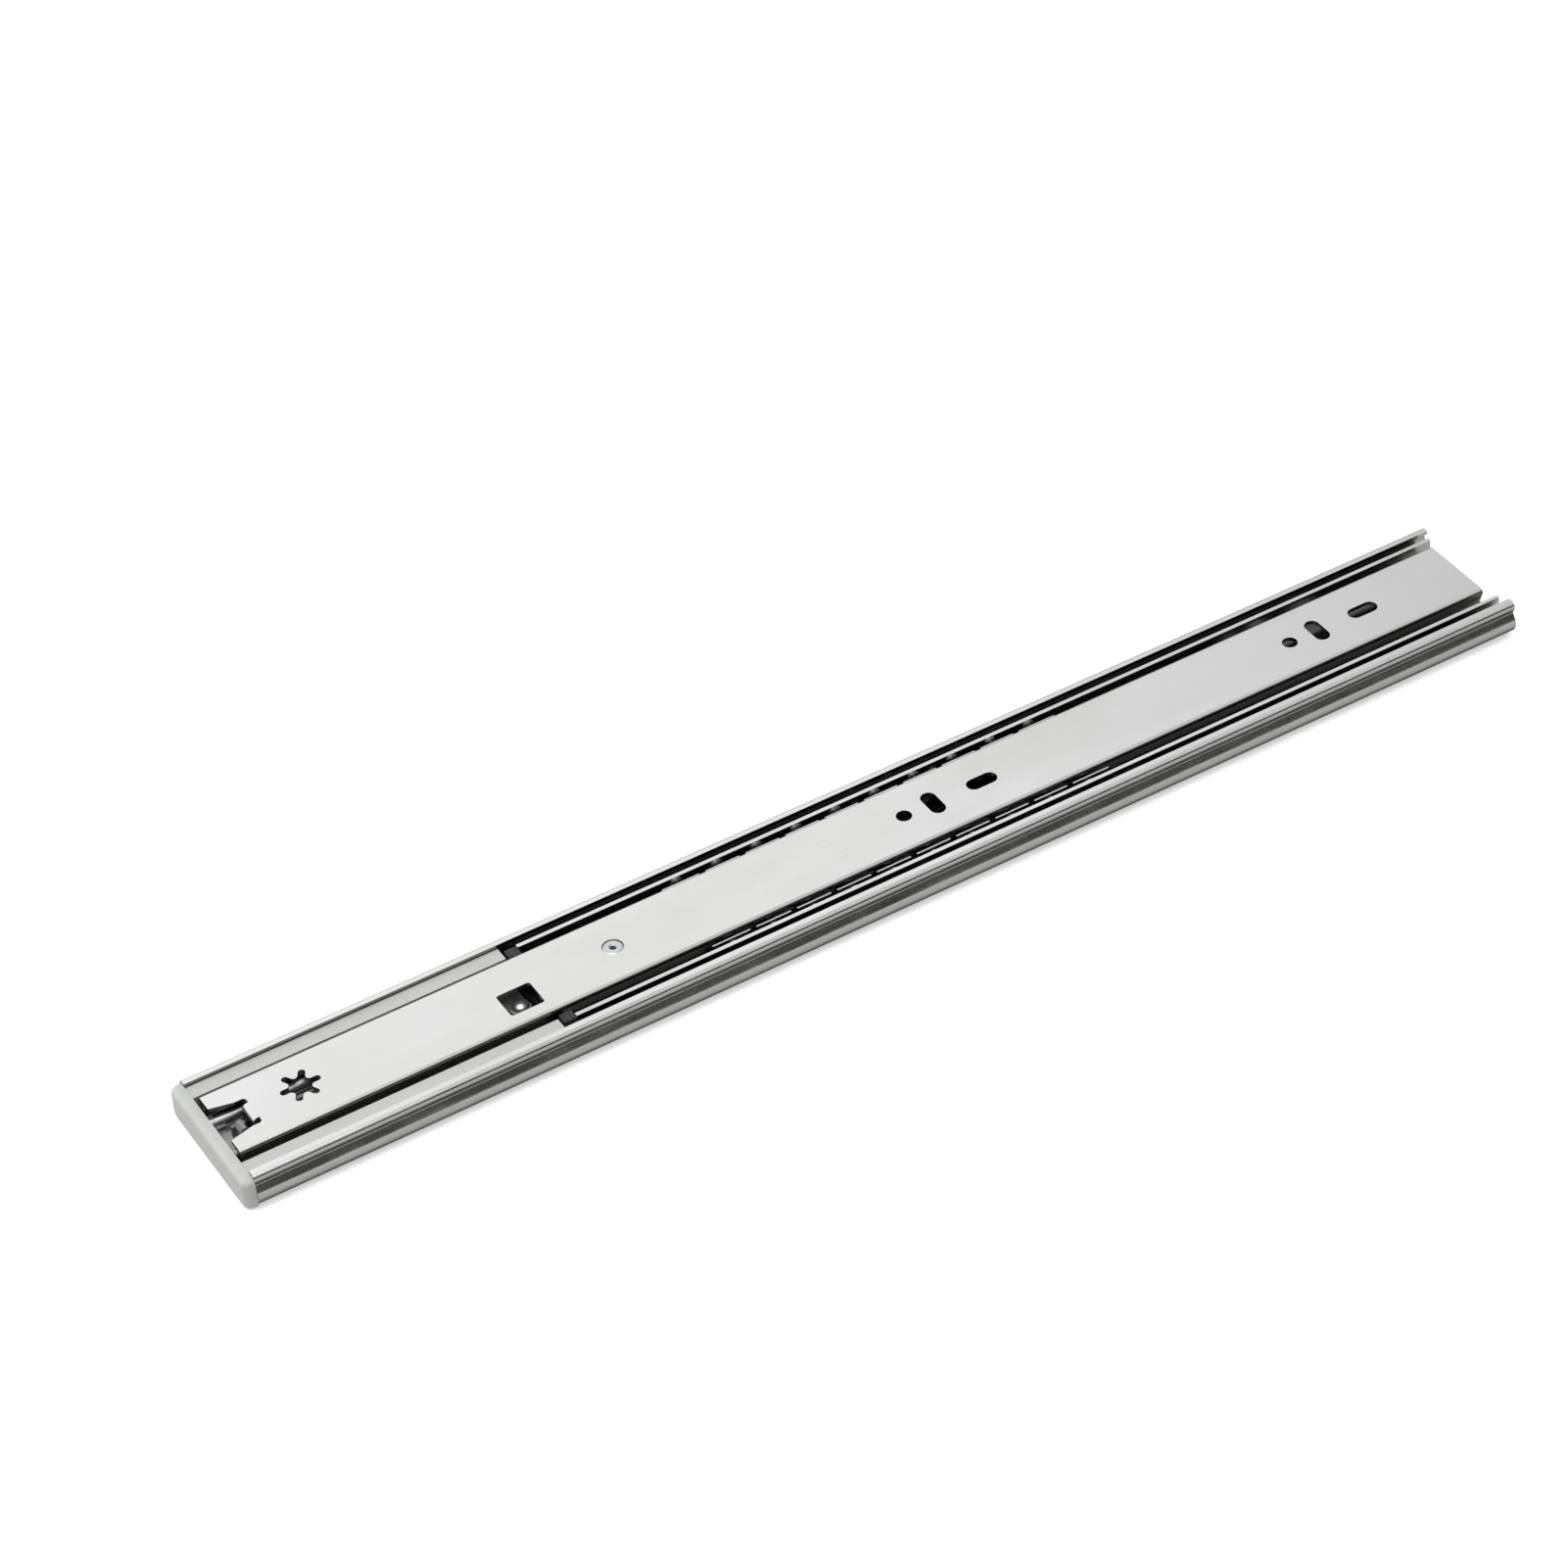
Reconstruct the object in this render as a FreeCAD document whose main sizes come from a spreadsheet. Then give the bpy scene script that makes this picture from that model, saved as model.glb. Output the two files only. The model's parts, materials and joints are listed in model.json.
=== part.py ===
"""Full-extension ball-bearing drawer slide with a soft-close unit, shown closed and lying on its back.

+X points the way the drawer opens, +Y across the slide and +Z away from the cabinet wall.
The origin is the middle of the footprint, on the plane of the cabinet wall. Sizes are in millimetres.
"""
import FreeCAD, Part
import math
import os
import Sketcher

doc = FreeCAD.newDocument("drawer_slide")
sheet = doc.addObject("Spreadsheet::Sheet", "dims")

DRIVING = {
    # overall
    "overall_length": 402.0,
    "overall_width": 45.4,
    "overall_thickness": 12.7,
    "running_gap": 0.35,
    # cabinet member, the widest channel
    "outer_sheet": 1.2,
    "outer_corner_radius": 1.6,
    "outer_foot_inset": 4.7,
    "bead_radius": 0.9,
    "bead_height": 8.3,
    "bead_depth": 2.1,
    "lip_radius": 1.0,
    "lip_inset": 0.8,
    "lip_drop": 0.7,
    "lip_reach": 2.8,
    # balls
    "outer_ball_radius": 2.38,
    "inner_ball_radius": 1.985,
    "race_clearance": 0.12,
    "outer_ball_pitch": 11.5,
    "outer_ball_count": 8,
    "inner_ball_pitch": 12.6,
    "inner_ball_count": 10,
    # ball retainers
    "retainer_sheet": 0.5,
    "retainer_bend": 0.75,
    "outer_retainer_end": 7.25,
    "outer_retainer_rise": 3.5,
    "inner_retainer_rise": 2.8,
    "retainer_tab_gap": 2.0,
    "retainer_margin": 2.0,
    "inner_retainer_lead": 4.1,
    # middle member
    "middle_sheet": 1.2,
    "middle_recess": 1.6,
    "bumper_overhang": 3.6,
    "bumper_gap": 0.8,
    "latch_setback": 4.6,
    "travel_margin": 5.0,
    "middle_bend": 1.1,
    "middle_edge_wrap": 12.0,
    "middle_edge_drop": 1.1,
    "access_length": 32.0,
    "access_width": 13.0,
    # drawer member
    "drawer_sheet": 1.2,
    "row_overlap": 0.25,
    "drawer_recess": 4.0,
    "drawer_rear_gap": 1.0,
    "drawer_bend": 0.05,
    "drawer_overhang": 1.0,
    "drawer_edge_wrap": 40.0,
    # screw holes: two groups, each a lengthwise slot, a crosswise slot and a round hole
    "screw_setback": 37.0,
    "screw_spacing": 128.0,
    "slot_length": 9.4,
    "slot_width": 4.5,
    "cross_slot_offset": 15.75,
    "round_hole_offset": 25.1,
    "round_hole_radius": 2.25,
    "cabinet_screw_spacing": 224.0,
    # rear end of the drawer member
    "notch_depth": 7.8,
    "notch_mouth": 13.8,
    "notch_width": 10.5,
    "notch_shift": -0.45,
    "notch_relief": 2.0,
    "tab_width": 6.4,
    "tab_drop": 4.1,
    "star_setback": 23.8,
    "star_shift": 0.6,
    "star_reach": 5.85,
    "star_arm_width": 2.0,
    "star_lobe_radius": 1.1,
    "window_setback": 86.4,
    "window_shift": 3.65,
    "window_length": 10.1,
    "window_width": 9.0,
    # disconnect lever
    "lever_setback": 116.4,
    "lever_reach": 74.0,
    "lever_width": 5.0,
    "lever_thickness": 2.5,
    "lever_tooth": 4.5,
    "lever_stop_height": 4.35,
    # soft-close housing
    "cap_depth": 3.4,
    "cap_height": 11.2,
    "cap_rounding": 2.2,
    "housing_length": 96.0,
    "housing_split": 66.5,
    "housing_floor": 1.55,
    "rail_gap": 1.85,
    "rail_height": 10.8,
    "guide_width": 0.8,
    "guide_height": 2.0,
    # soft-close mechanism
    "close_stroke": 35.0,
    "carriage_width": 6.6,
    "carriage_front": 50.5,
    "carriage_bar": 3.2,
    "catch_width": 3.8,
    "catch_pivot_setback": 26.3,
    "catch_pin_radius": 0.8,
    "horn_thickness": 2.0,
    "rear_horn_gap": 1.2,
    "front_horn_gap": 0.4,
    "rear_horn_rise": 1.8,
    "damper_radius": 2.1,
    "damper_wall": 0.5,
    "damper_offset": 7.0,
    "damper_height": 6.9,
    "damper_length": 41.5,
    "damper_rod_radius": 0.55,
    "spring_radius": 1.7,
    "spring_wire": 0.5,
    "spring_turns": 26.0,
    # rivets
    "rivet_radius": 1.5,
    "dome_radius": 2.6,
    "dome_height": 2.4,
    "dome_setback": 3.2,
    "dome_shift": 1.5,
    "eyelet_head_radius": 2.9,
    "eyelet_bore": 0.9,
    "eyelet_recess": 0.6,
}

for row, (alias, number) in enumerate(DRIVING.items(), start=1):
    sheet.set(f"A{row}", alias)
    sheet.set(f"B{row}", str(number))
    sheet.setAlias(f"B{row}", alias)
doc.recompute()

# Places along X, written once and used by every piece that meets them.
FRONT = "(dims.overall_length / 2)"
REAR = "(-dims.overall_length / 2)"
STEEL_REAR = f"({REAR} + dims.cap_depth)"
MIDDLE_FRONT = f"({FRONT} - dims.middle_recess)"
DRAWER_FRONT = f"({FRONT} - dims.drawer_recess)"
DRAWER_REAR = f"({STEEL_REAR} + dims.drawer_rear_gap)"
HOUSING_FRONT = f"({REAR} + dims.housing_length)"
HOUSING_SPLIT = f"({REAR} + dims.housing_split)"
MIDDLE_REAR = f"({HOUSING_FRONT} + dims.bumper_gap + dims.bumper_overhang)"
MIDDLE_LENGTH = f"({MIDDLE_FRONT} - {MIDDLE_REAR})"
TAB_BACK = f"({DRAWER_REAR} + dims.notch_depth)"
TAB_FACE = f"({TAB_BACK} + dims.drawer_sheet)"
CARRIAGE_FRONT = f"({REAR} + dims.carriage_front)"
CARRIAGE_BACK = f"({TAB_BACK} - dims.rear_horn_gap - dims.horn_thickness - 0.6)"
CATCH_PIVOT = f"({REAR} + dims.catch_pivot_setback)"
DAMPER_REAR = f"({STEEL_REAR} + 0.8)"
DAMPER_FRONT = f"({DAMPER_REAR} + dims.damper_length)"
LEVER_PIVOT = f"({DRAWER_REAR} + dims.lever_setback)"
LEVER_TIP = f"({LEVER_PIVOT} + dims.lever_reach)"
SCREW_FRONT = f"({FRONT} - dims.screw_setback)"

# Heights of the nested channels, from the cabinet wall outwards.
OUTER_RETAINER_BASE = "(dims.outer_sheet + dims.running_gap)"
MIDDLE_BASE = f"({OUTER_RETAINER_BASE} + dims.retainer_sheet + dims.running_gap)"
MIDDLE_TOP = f"({MIDDLE_BASE} + dims.middle_sheet)"
INNER_RETAINER_BASE = f"({MIDDLE_TOP} + dims.running_gap)"
INNER_RETAINER_TOP = f"({INNER_RETAINER_BASE} + dims.retainer_sheet)"
DRAWER_UNDERSIDE = "(dims.overall_thickness - dims.drawer_sheet)"
TAB_TIP = f"({DRAWER_UNDERSIDE} - dims.tab_drop)"
FLOOR_BASE = "(dims.outer_sheet + 0.25)"
FLOOR_TOP = f"({FLOOR_BASE} + dims.housing_floor)"
LIP_TOP = "(dims.overall_thickness - dims.lip_drop)"
OUTER_BALL_HEIGHT = f"({MIDDLE_BASE} + 2.4)"
INNER_BALL_HEIGHT = f"({DRAWER_UNDERSIDE} - 3.3)"

# Half-widths of the ball rows, worked out from the walls that they run between.
OUTER_RACE = "(dims.outer_ball_radius + dims.race_clearance)"
INNER_RACE = "(dims.inner_ball_radius + dims.race_clearance)"
OUTER_BALL_HALF = f"(dims.overall_width / 2 - dims.outer_sheet - {OUTER_RACE})"
DRAWER_HALF = (
    f"({OUTER_BALL_HALF} - {OUTER_RACE} - dims.middle_sheet - 2 * {INNER_RACE}"
    " + dims.drawer_overhang + dims.row_overlap)"
)
RAIL_INNER = f"({DRAWER_HALF} + dims.rail_gap)"
INNER_BALL_HALF = f"({DRAWER_HALF} + {INNER_RACE} - dims.drawer_overhang)"

# Travel of the two moving members, and the stop on the middle member that ends the drawer member's.
LATCH_STOP = f"({MIDDLE_FRONT} - dims.latch_setback)"
INNER_TRAVEL = f"({LATCH_STOP} - {LEVER_TIP} - 1)"
OUTER_RETAINER_LENGTH = (
    "((dims.outer_ball_count - 1) * dims.outer_ball_pitch + 2 * dims.outer_retainer_end)"
)
OUTER_TRAVEL = f"({MIDDLE_LENGTH} - {OUTER_RETAINER_LENGTH} - dims.travel_margin)"

# Closed places of the two ball retainers: each travels half as far as the member that it carries.
OUTER_RETAINER_REAR = f"({MIDDLE_REAR} + {OUTER_TRAVEL} / 2 + dims.retainer_margin)"
INNER_RETAINER_LENGTH = "(dims.inner_ball_count * dims.inner_ball_pitch)"
INNER_RETAINER_REAR = (
    f"(({MIDDLE_FRONT} + {DRAWER_REAR} - {INNER_RETAINER_LENGTH}) / 2 + dims.inner_retainer_lead)"
)
OUTER_BALL_FIRST = f"({OUTER_RETAINER_REAR} + dims.outer_retainer_end)"
INNER_BALL_FIRST = f"({INNER_RETAINER_REAR} + dims.inner_ball_pitch / 2)"

# The inner retainer's stop on the middle member.
MIDDLE_STOP = f"({INNER_RETAINER_REAR} + {INNER_RETAINER_LENGTH} + {INNER_TRAVEL} / 2 + 2)"
STOP_HEIGHT = "(dims.running_gap + dims.retainer_sheet - 0.1)"

# Rivets and the spring's seats.
DOME_PLACE = f"({HOUSING_FRONT} - dims.dome_setback)"
DOME_BASE = f"({TAB_TIP} - dims.running_gap - dims.dome_height)"
BUMPER_RIVET = f"({MIDDLE_REAR} + 8)"
HOUSING_RIVET = f"({HOUSING_SPLIT} - 28)"
HOUSING_RIVET_HALF = f"({RAIL_INNER} - 1.25)"
SMALL_RIVET = "(dims.rivet_radius * 0.6)"
SPRING_POST = "(dims.spring_radius - dims.spring_wire / 2 - 0.25)"

# The carriage and its catch, which lie in the path of the tab and stay lower than its tip.
CARRIAGE_BASE = f"({FLOOR_TOP} + dims.running_gap)"
CARRIAGE_TOP = f"({TAB_TIP} - dims.running_gap)"
TROUGH_FLOOR = f"({CARRIAGE_BASE} + 0.6)"
CATCH_PIVOT_HEIGHT = f"({TROUGH_FLOOR} + 1.35)"
CARRIAGE_BAR_BASE = f"({FLOOR_TOP} + dims.guide_height + dims.running_gap)"


def value(expression):
    """The number that an expression has with the sheet's present sizes."""
    return float(sheet.evalExpression(expression))


def new_body(label):
    """A PartDesign body with the node's name."""
    body = doc.addObject("PartDesign::Body", label)
    body.Label = label
    return body


def origin_feature(body, role):
    """One of the body's own origin planes or axes."""
    return next(item for item in body.Origin.OriginFeatures if item.Role == role)


def new_sketch(body, name, plane, offset="0"):
    """A sketch on an origin plane of the body, moved along the plane's normal by an expression."""
    sketch = body.newObject("Sketcher::SketchObject", name)
    sketch.AttachmentSupport = [(origin_feature(body, plane), "")]
    sketch.MapMode = "FlatFace"
    sketch.setExpression(".AttachmentOffset.Base.z", offset)
    return sketch


def bind(sketch, kind, where, expression):
    """A dimension in a sketch, driven by an expression."""
    index = sketch.addConstraint(Sketcher.Constraint(kind, *where, value(expression)))
    sketch.setExpression(f"Constraints[{index}]", expression)


def pin_point(sketch, geometry, position, across, up):
    """Hold a point of a sketch at two expressions, measured from the sketch's origin."""
    bind(sketch, "DistanceX", (-1, 1, geometry, position), across)
    bind(sketch, "DistanceY", (-1, 1, geometry, position), up)


def polygon(sketch, corners):
    """A closed outline with square corners, each corner a pair of expressions."""
    points = [FreeCAD.Vector(value(across), value(up), 0) for across, up in corners]
    count = len(points)
    lines = [
        sketch.addGeometry(Part.LineSegment(points[i], points[(i + 1) % count])) for i in range(count)
    ]
    for i in range(count):
        sketch.addConstraint(Sketcher.Constraint("Coincident", lines[i], 2, lines[(i + 1) % count], 1))
        pin_point(sketch, lines[i], 1, *corners[i])


def rectangle(sketch, left, bottom, right, top):
    """A rectangle between four expressions."""
    polygon(sketch, [(left, bottom), (right, bottom), (right, top), (left, top)])


def circle(sketch, across, up, radius):
    """A circle with its centre and radius as expressions."""
    centre = FreeCAD.Vector(value(across), value(up), 0)
    index = sketch.addGeometry(Part.Circle(centre, FreeCAD.Vector(0, 0, 1), value(radius)))
    pin_point(sketch, index, 3, across, up)
    bind(sketch, "Radius", (index,), radius)


def heading_between(bend, following):
    """Direction in degrees of the straight run that leaves one bend and meets the next."""
    across = following[0] - bend[0]
    up = following[1] - bend[1]
    step = (following[3] * following[2] - bend[3] * bend[2]) / math.hypot(across, up)
    return math.degrees(math.atan2(up, across) - math.asin(step))


def bend_arc(bend, radius, heading_in, heading_out):
    """The arc of a bend, with the numbers of its entry and exit points."""
    centre_x, centre_y, _, turn = bend
    start = math.radians(heading_in - 90 * turn)
    end = math.radians(heading_out - 90 * turn)
    if turn < 0:
        start, end = end, start
    while end <= start:
        end += 2 * math.pi
    ring = Part.Circle(FreeCAD.Vector(centre_x, centre_y, 0), FreeCAD.Vector(0, 0, 1), radius)
    entry, leave = (1, 2) if turn > 0 else (2, 1)
    return Part.ArcOfCircle(ring, start, end), entry, leave


def bend_point(bend, radius, heading):
    """The point where a straight run with this heading touches the bend."""
    centre_x, centre_y, _, turn = bend
    angle = math.radians(heading)
    return FreeCAD.Vector(
        centre_x + turn * radius * math.sin(angle), centre_y - turn * radius * math.cos(angle), 0
    )


def belt(sketch, bends):
    """A closed outline of bends joined by tangent runs. Each bend is (across, up, radius, turn)."""
    numbers = [(value(across), value(up), value(radius), turn) for across, up, radius, turn in bends]
    count = len(numbers)
    headings = [heading_between(numbers[i], numbers[(i + 1) % count]) for i in range(count)]
    arcs = []
    for i in range(count):
        arc, entry, leave = bend_arc(numbers[i], numbers[i][2], headings[i - 1], headings[i])
        index = sketch.addGeometry(arc)
        pin_point(sketch, index, 3, bends[i][0], bends[i][1])
        bind(sketch, "Radius", (index,), bends[i][2])
        arcs.append((index, entry, leave))
    for i in range(count):
        following = (i + 1) % count
        run = Part.LineSegment(
            bend_point(numbers[i], numbers[i][2], headings[i]),
            bend_point(numbers[following], numbers[following][2], headings[i]),
        )
        line = sketch.addGeometry(run)
        sketch.addConstraint(Sketcher.Constraint("Tangent", arcs[i][0], arcs[i][2], line, 1))
        sketch.addConstraint(Sketcher.Constraint("Tangent", line, 2, arcs[following][0], arcs[following][1]))


def slot(sketch, across, up, length, width, crosswise=False):
    """A slot with round ends, centred on two expressions."""
    half = f"({length} - {width}) / 2"
    if crosswise:
        ends = [(across, f"{up} + {half}"), (across, f"{up} - {half}")]
    else:
        ends = [(f"{across} - {half}", up), (f"{across} + {half}", up)]
    belt(sketch, [(end_x, end_y, f"({width} / 2)", 1) for end_x, end_y in ends])


def rounded_rectangle(sketch, left, bottom, right, top, radius):
    """A rectangle with four equal round corners."""
    belt(sketch, [
        (f"{left} + {radius}", f"{bottom} + {radius}", radius, 1),
        (f"{right} - {radius}", f"{bottom} + {radius}", radius, 1),
        (f"{right} - {radius}", f"{top} - {radius}", radius, 1),
        (f"{left} + {radius}", f"{top} - {radius}", radius, 1),
    ])


def strip(sketch, half_bends, thickness, end):
    """The section of a folded sheet, the same on both sides of its middle.

    half_bends lists the bends of the +Y half from the web outwards, each (across, up, middle radius, turn).
    end is ("lip", across), ("wall", up) or ("edge", heading): a run inwards to a place across, a run up to
    a height, or a cut straight through the last bend where the sheet has that heading.
    """
    mirrored = [(f"-({across})", up, radius, turn) for across, up, radius, turn in reversed(half_bends)]
    bends = mirrored + list(half_bends)
    numbers = [(value(across), value(up), value(radius), turn) for across, up, radius, turn in bends]
    count = len(numbers)
    kind, limit = end
    last_heading = {"lip": 180.0, "wall": 90.0}.get(kind) or value(limit)
    headings = [-last_heading]
    headings += [heading_between(numbers[i], numbers[i + 1]) for i in range(count - 1)]
    headings += [last_heading]
    limits = [limit if kind == "wall" else f"-({limit})", limit]
    centres = []
    tips = []
    for side in (1, -1):
        arcs = []
        for i in range(count):
            turn = bends[i][3]
            side_radius = f"({bends[i][2]} - {turn * side} * {thickness} / 2)"
            arc, entry, leave = bend_arc(numbers[i], value(side_radius), headings[i], headings[i + 1])
            index = sketch.addGeometry(arc)
            if side > 0:
                pin_point(sketch, index, 3, bends[i][0], bends[i][1])
                centres.append(index)
            else:
                sketch.addConstraint(Sketcher.Constraint("Coincident", index, 3, centres[i], 3))
            bind(sketch, "Radius", (index,), side_radius)
            arcs.append((index, entry, leave, value(side_radius)))
        for i in range(count - 1):
            run = Part.LineSegment(
                bend_point(numbers[i], arcs[i][3], headings[i + 1]),
                bend_point(numbers[i + 1], arcs[i + 1][3], headings[i + 1]),
            )
            line = sketch.addGeometry(run)
            sketch.addConstraint(Sketcher.Constraint("Tangent", arcs[i][0], arcs[i][2], line, 1))
            sketch.addConstraint(Sketcher.Constraint("Tangent", line, 2, arcs[i + 1][0], arcs[i + 1][1]))
        first = strip_tip(sketch, numbers[0], arcs[0], arcs[0][1], headings[0], kind, limits[0])
        last = strip_tip(sketch, numbers[-1], arcs[-1], arcs[-1][2], headings[-1], kind, limits[1])
        tips.append((first, last))
    close_strip(sketch, tips[0][0], tips[1][0], kind, limits[0], centres[0])
    close_strip(sketch, tips[0][1], tips[1][1], kind, limits[1], centres[-1])


def strip_tip(sketch, bend, arc, position, heading, kind, limit):
    """Where one side of a folded sheet ends: on the last bend itself, or on a run that leaves it."""
    corner = bend_point(bend, arc[3], heading)
    if kind == "edge":
        return arc[0], position, corner
    if kind == "lip":
        far = FreeCAD.Vector(value(limit), corner.y, 0)
    else:
        far = FreeCAD.Vector(corner.x, value(limit), 0)
    line = sketch.addGeometry(Part.LineSegment(corner, far))
    sketch.addConstraint(Sketcher.Constraint("Tangent", arc[0], position, line, 1))
    return line, 2, far


def close_strip(sketch, left_tip, right_tip, kind, limit, centre):
    """The cut edge of a folded sheet, between the tips of its two sides."""
    edge = sketch.addGeometry(Part.LineSegment(left_tip[2], right_tip[2]))
    sketch.addConstraint(Sketcher.Constraint("Coincident", edge, 1, left_tip[0], left_tip[1]))
    sketch.addConstraint(Sketcher.Constraint("Coincident", edge, 2, right_tip[0], right_tip[1]))
    if kind == "edge":
        sketch.addConstraint(Sketcher.Constraint("PointOnObject", centre, 3, edge))
        bind(sketch, "Angle", (edge,), f"({limit} - 90)")
    for line, position, _ in (left_tip, right_tip):
        if kind == "lip":
            sketch.addConstraint(Sketcher.Constraint("Horizontal", line))
            bind(sketch, "DistanceX", (-1, 1, line, position), limit)
        if kind == "wall":
            sketch.addConstraint(Sketcher.Constraint("Vertical", line))
            bind(sketch, "DistanceY", (-1, 1, line, position), limit)


def pad(body, name, sketch, length, symmetric=False):
    """Material raised from a sketch along its normal, or both ways from it."""
    feature = body.newObject("PartDesign::Pad", name)
    feature.Profile = sketch
    feature.SideType = "Symmetric" if symmetric else "One side"
    feature.setExpression("Length", length)
    sketch.Visibility = False
    body.Tip = feature
    doc.recompute()
    return feature


def pocket(body, name, sketch, depth, symmetric=False):
    """Material cut away against a sketch's normal, or both ways from it. Raises if nothing was cut."""
    before = body.Shape.Volume
    feature = body.newObject("PartDesign::Pocket", name)
    feature.Profile = sketch
    feature.SideType = "Symmetric" if symmetric else "One side"
    feature.setExpression("Length", depth)
    body.Tip = feature
    doc.recompute()
    if body.Shape.Volume > before - 1e-3:
        raise RuntimeError(f"{body.Label}: {name} cut nothing")
    return feature


def fillet(body, name, radius, chosen):
    """Round the edges of the body's present shape for which chosen(edge) is true."""
    base = body.Tip
    names = [f"Edge{i}" for i, edge in enumerate(base.Shape.Edges, start=1) if chosen(edge)]
    if not names:
        raise RuntimeError(f"{body.Label}: {name} found no edge")
    feature = body.newObject("PartDesign::Fillet", name)
    feature.Base = (base, names)
    feature.setExpression("Radius", radius)
    body.Tip = feature
    doc.recompute()
    return feature


def revolve(body, name, corners, place, shift="0"):
    """A turned piece with an upright axis: (radius, height) corners spun about the line at place, shift."""
    sketch = new_sketch(body, f"{name}_section", "XZ_Plane", f"-({shift})")
    sketch.setExpression(".AttachmentOffset.Base.x", place)
    polygon(sketch, corners)
    feature = body.newObject("PartDesign::Revolution", name)
    feature.Profile = sketch
    feature.ReferenceAxis = (sketch, ["V_Axis"])
    feature.Angle = 360.0
    sketch.Visibility = False
    body.Tip = feature
    doc.recompute()
    return feature


# ---------------------------------------------------------------------------------------------------
# Cabinet member: the wide channel that is screwed to the cabinet side


def screw_group(sketch, place):
    """One group of screw holes: a lengthwise slot, a crosswise slot and a round hole."""
    slot(sketch, place, "0", "dims.slot_length", "dims.slot_width")
    slot(sketch, f"{place} - dims.cross_slot_offset", "0", "dims.slot_length", "dims.slot_width", True)
    circle(sketch, f"{place} - dims.round_hole_offset", "0", "dims.round_hole_radius")


def make_outer_member():
    """The cabinet member, with a ball race, a bead and a lip folded into each side."""
    body = new_body("outer_member")
    half = "(dims.overall_width / 2)"
    middle = "dims.outer_sheet / 2"
    section = new_sketch(body, "outer_section", "YZ_Plane", STEEL_REAR)
    corner = (
        f"({half} - dims.outer_foot_inset)", f"(dims.outer_corner_radius + {middle})",
        "dims.outer_corner_radius", 1,
    )
    race = (OUTER_BALL_HALF, OUTER_BALL_HEIGHT, f"({OUTER_RACE} + {middle})", 1)
    bead = (
        f"({half} - dims.bead_depth + dims.bead_radius)", "dims.bead_height", "dims.bead_radius", -1,
    )
    lip = (
        f"({half} - dims.lip_inset - dims.lip_radius - {middle})",
        f"({LIP_TOP} - dims.lip_radius - {middle})", "dims.lip_radius", 1,
    )
    strip(section, [corner, race, bead, lip], "dims.outer_sheet",
          ("lip", f"({half} - dims.lip_inset - dims.lip_reach)"))
    pad(body, "outer_channel", section, f"{FRONT} - {STEEL_REAR}")
    holes = new_sketch(body, "cabinet_holes", "XY_Plane", "dims.outer_sheet")
    for place in (SCREW_FRONT, f"({SCREW_FRONT} - dims.cabinet_screw_spacing)"):
        screw_group(holes, place)
    pocket(body, "cabinet_screw_holes", holes, "dims.outer_sheet")
    stop = new_sketch(body, "retainer_stop_outline", "XY_Plane", "dims.outer_sheet")
    rectangle(stop, f"{FRONT} - 1.8", "-6", f"{FRONT} - 0.4", "6")
    pad(body, "retainer_stop", stop, STOP_HEIGHT)
    rivets = new_sketch(body, "rivet_holes_outline", "XY_Plane", "dims.outer_sheet")
    circle(rivets, DOME_PLACE, "dims.dome_shift", "dims.rivet_radius")
    for sign in (1, -1):
        circle(rivets, HOUSING_RIVET, f"{sign} * {HOUSING_RIVET_HALF}", SMALL_RIVET)
    pocket(body, "rivet_holes", rivets, "dims.outer_sheet")
    return body


# ---------------------------------------------------------------------------------------------------
# Middle member: runs in the cabinet member and carries the drawer member


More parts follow.
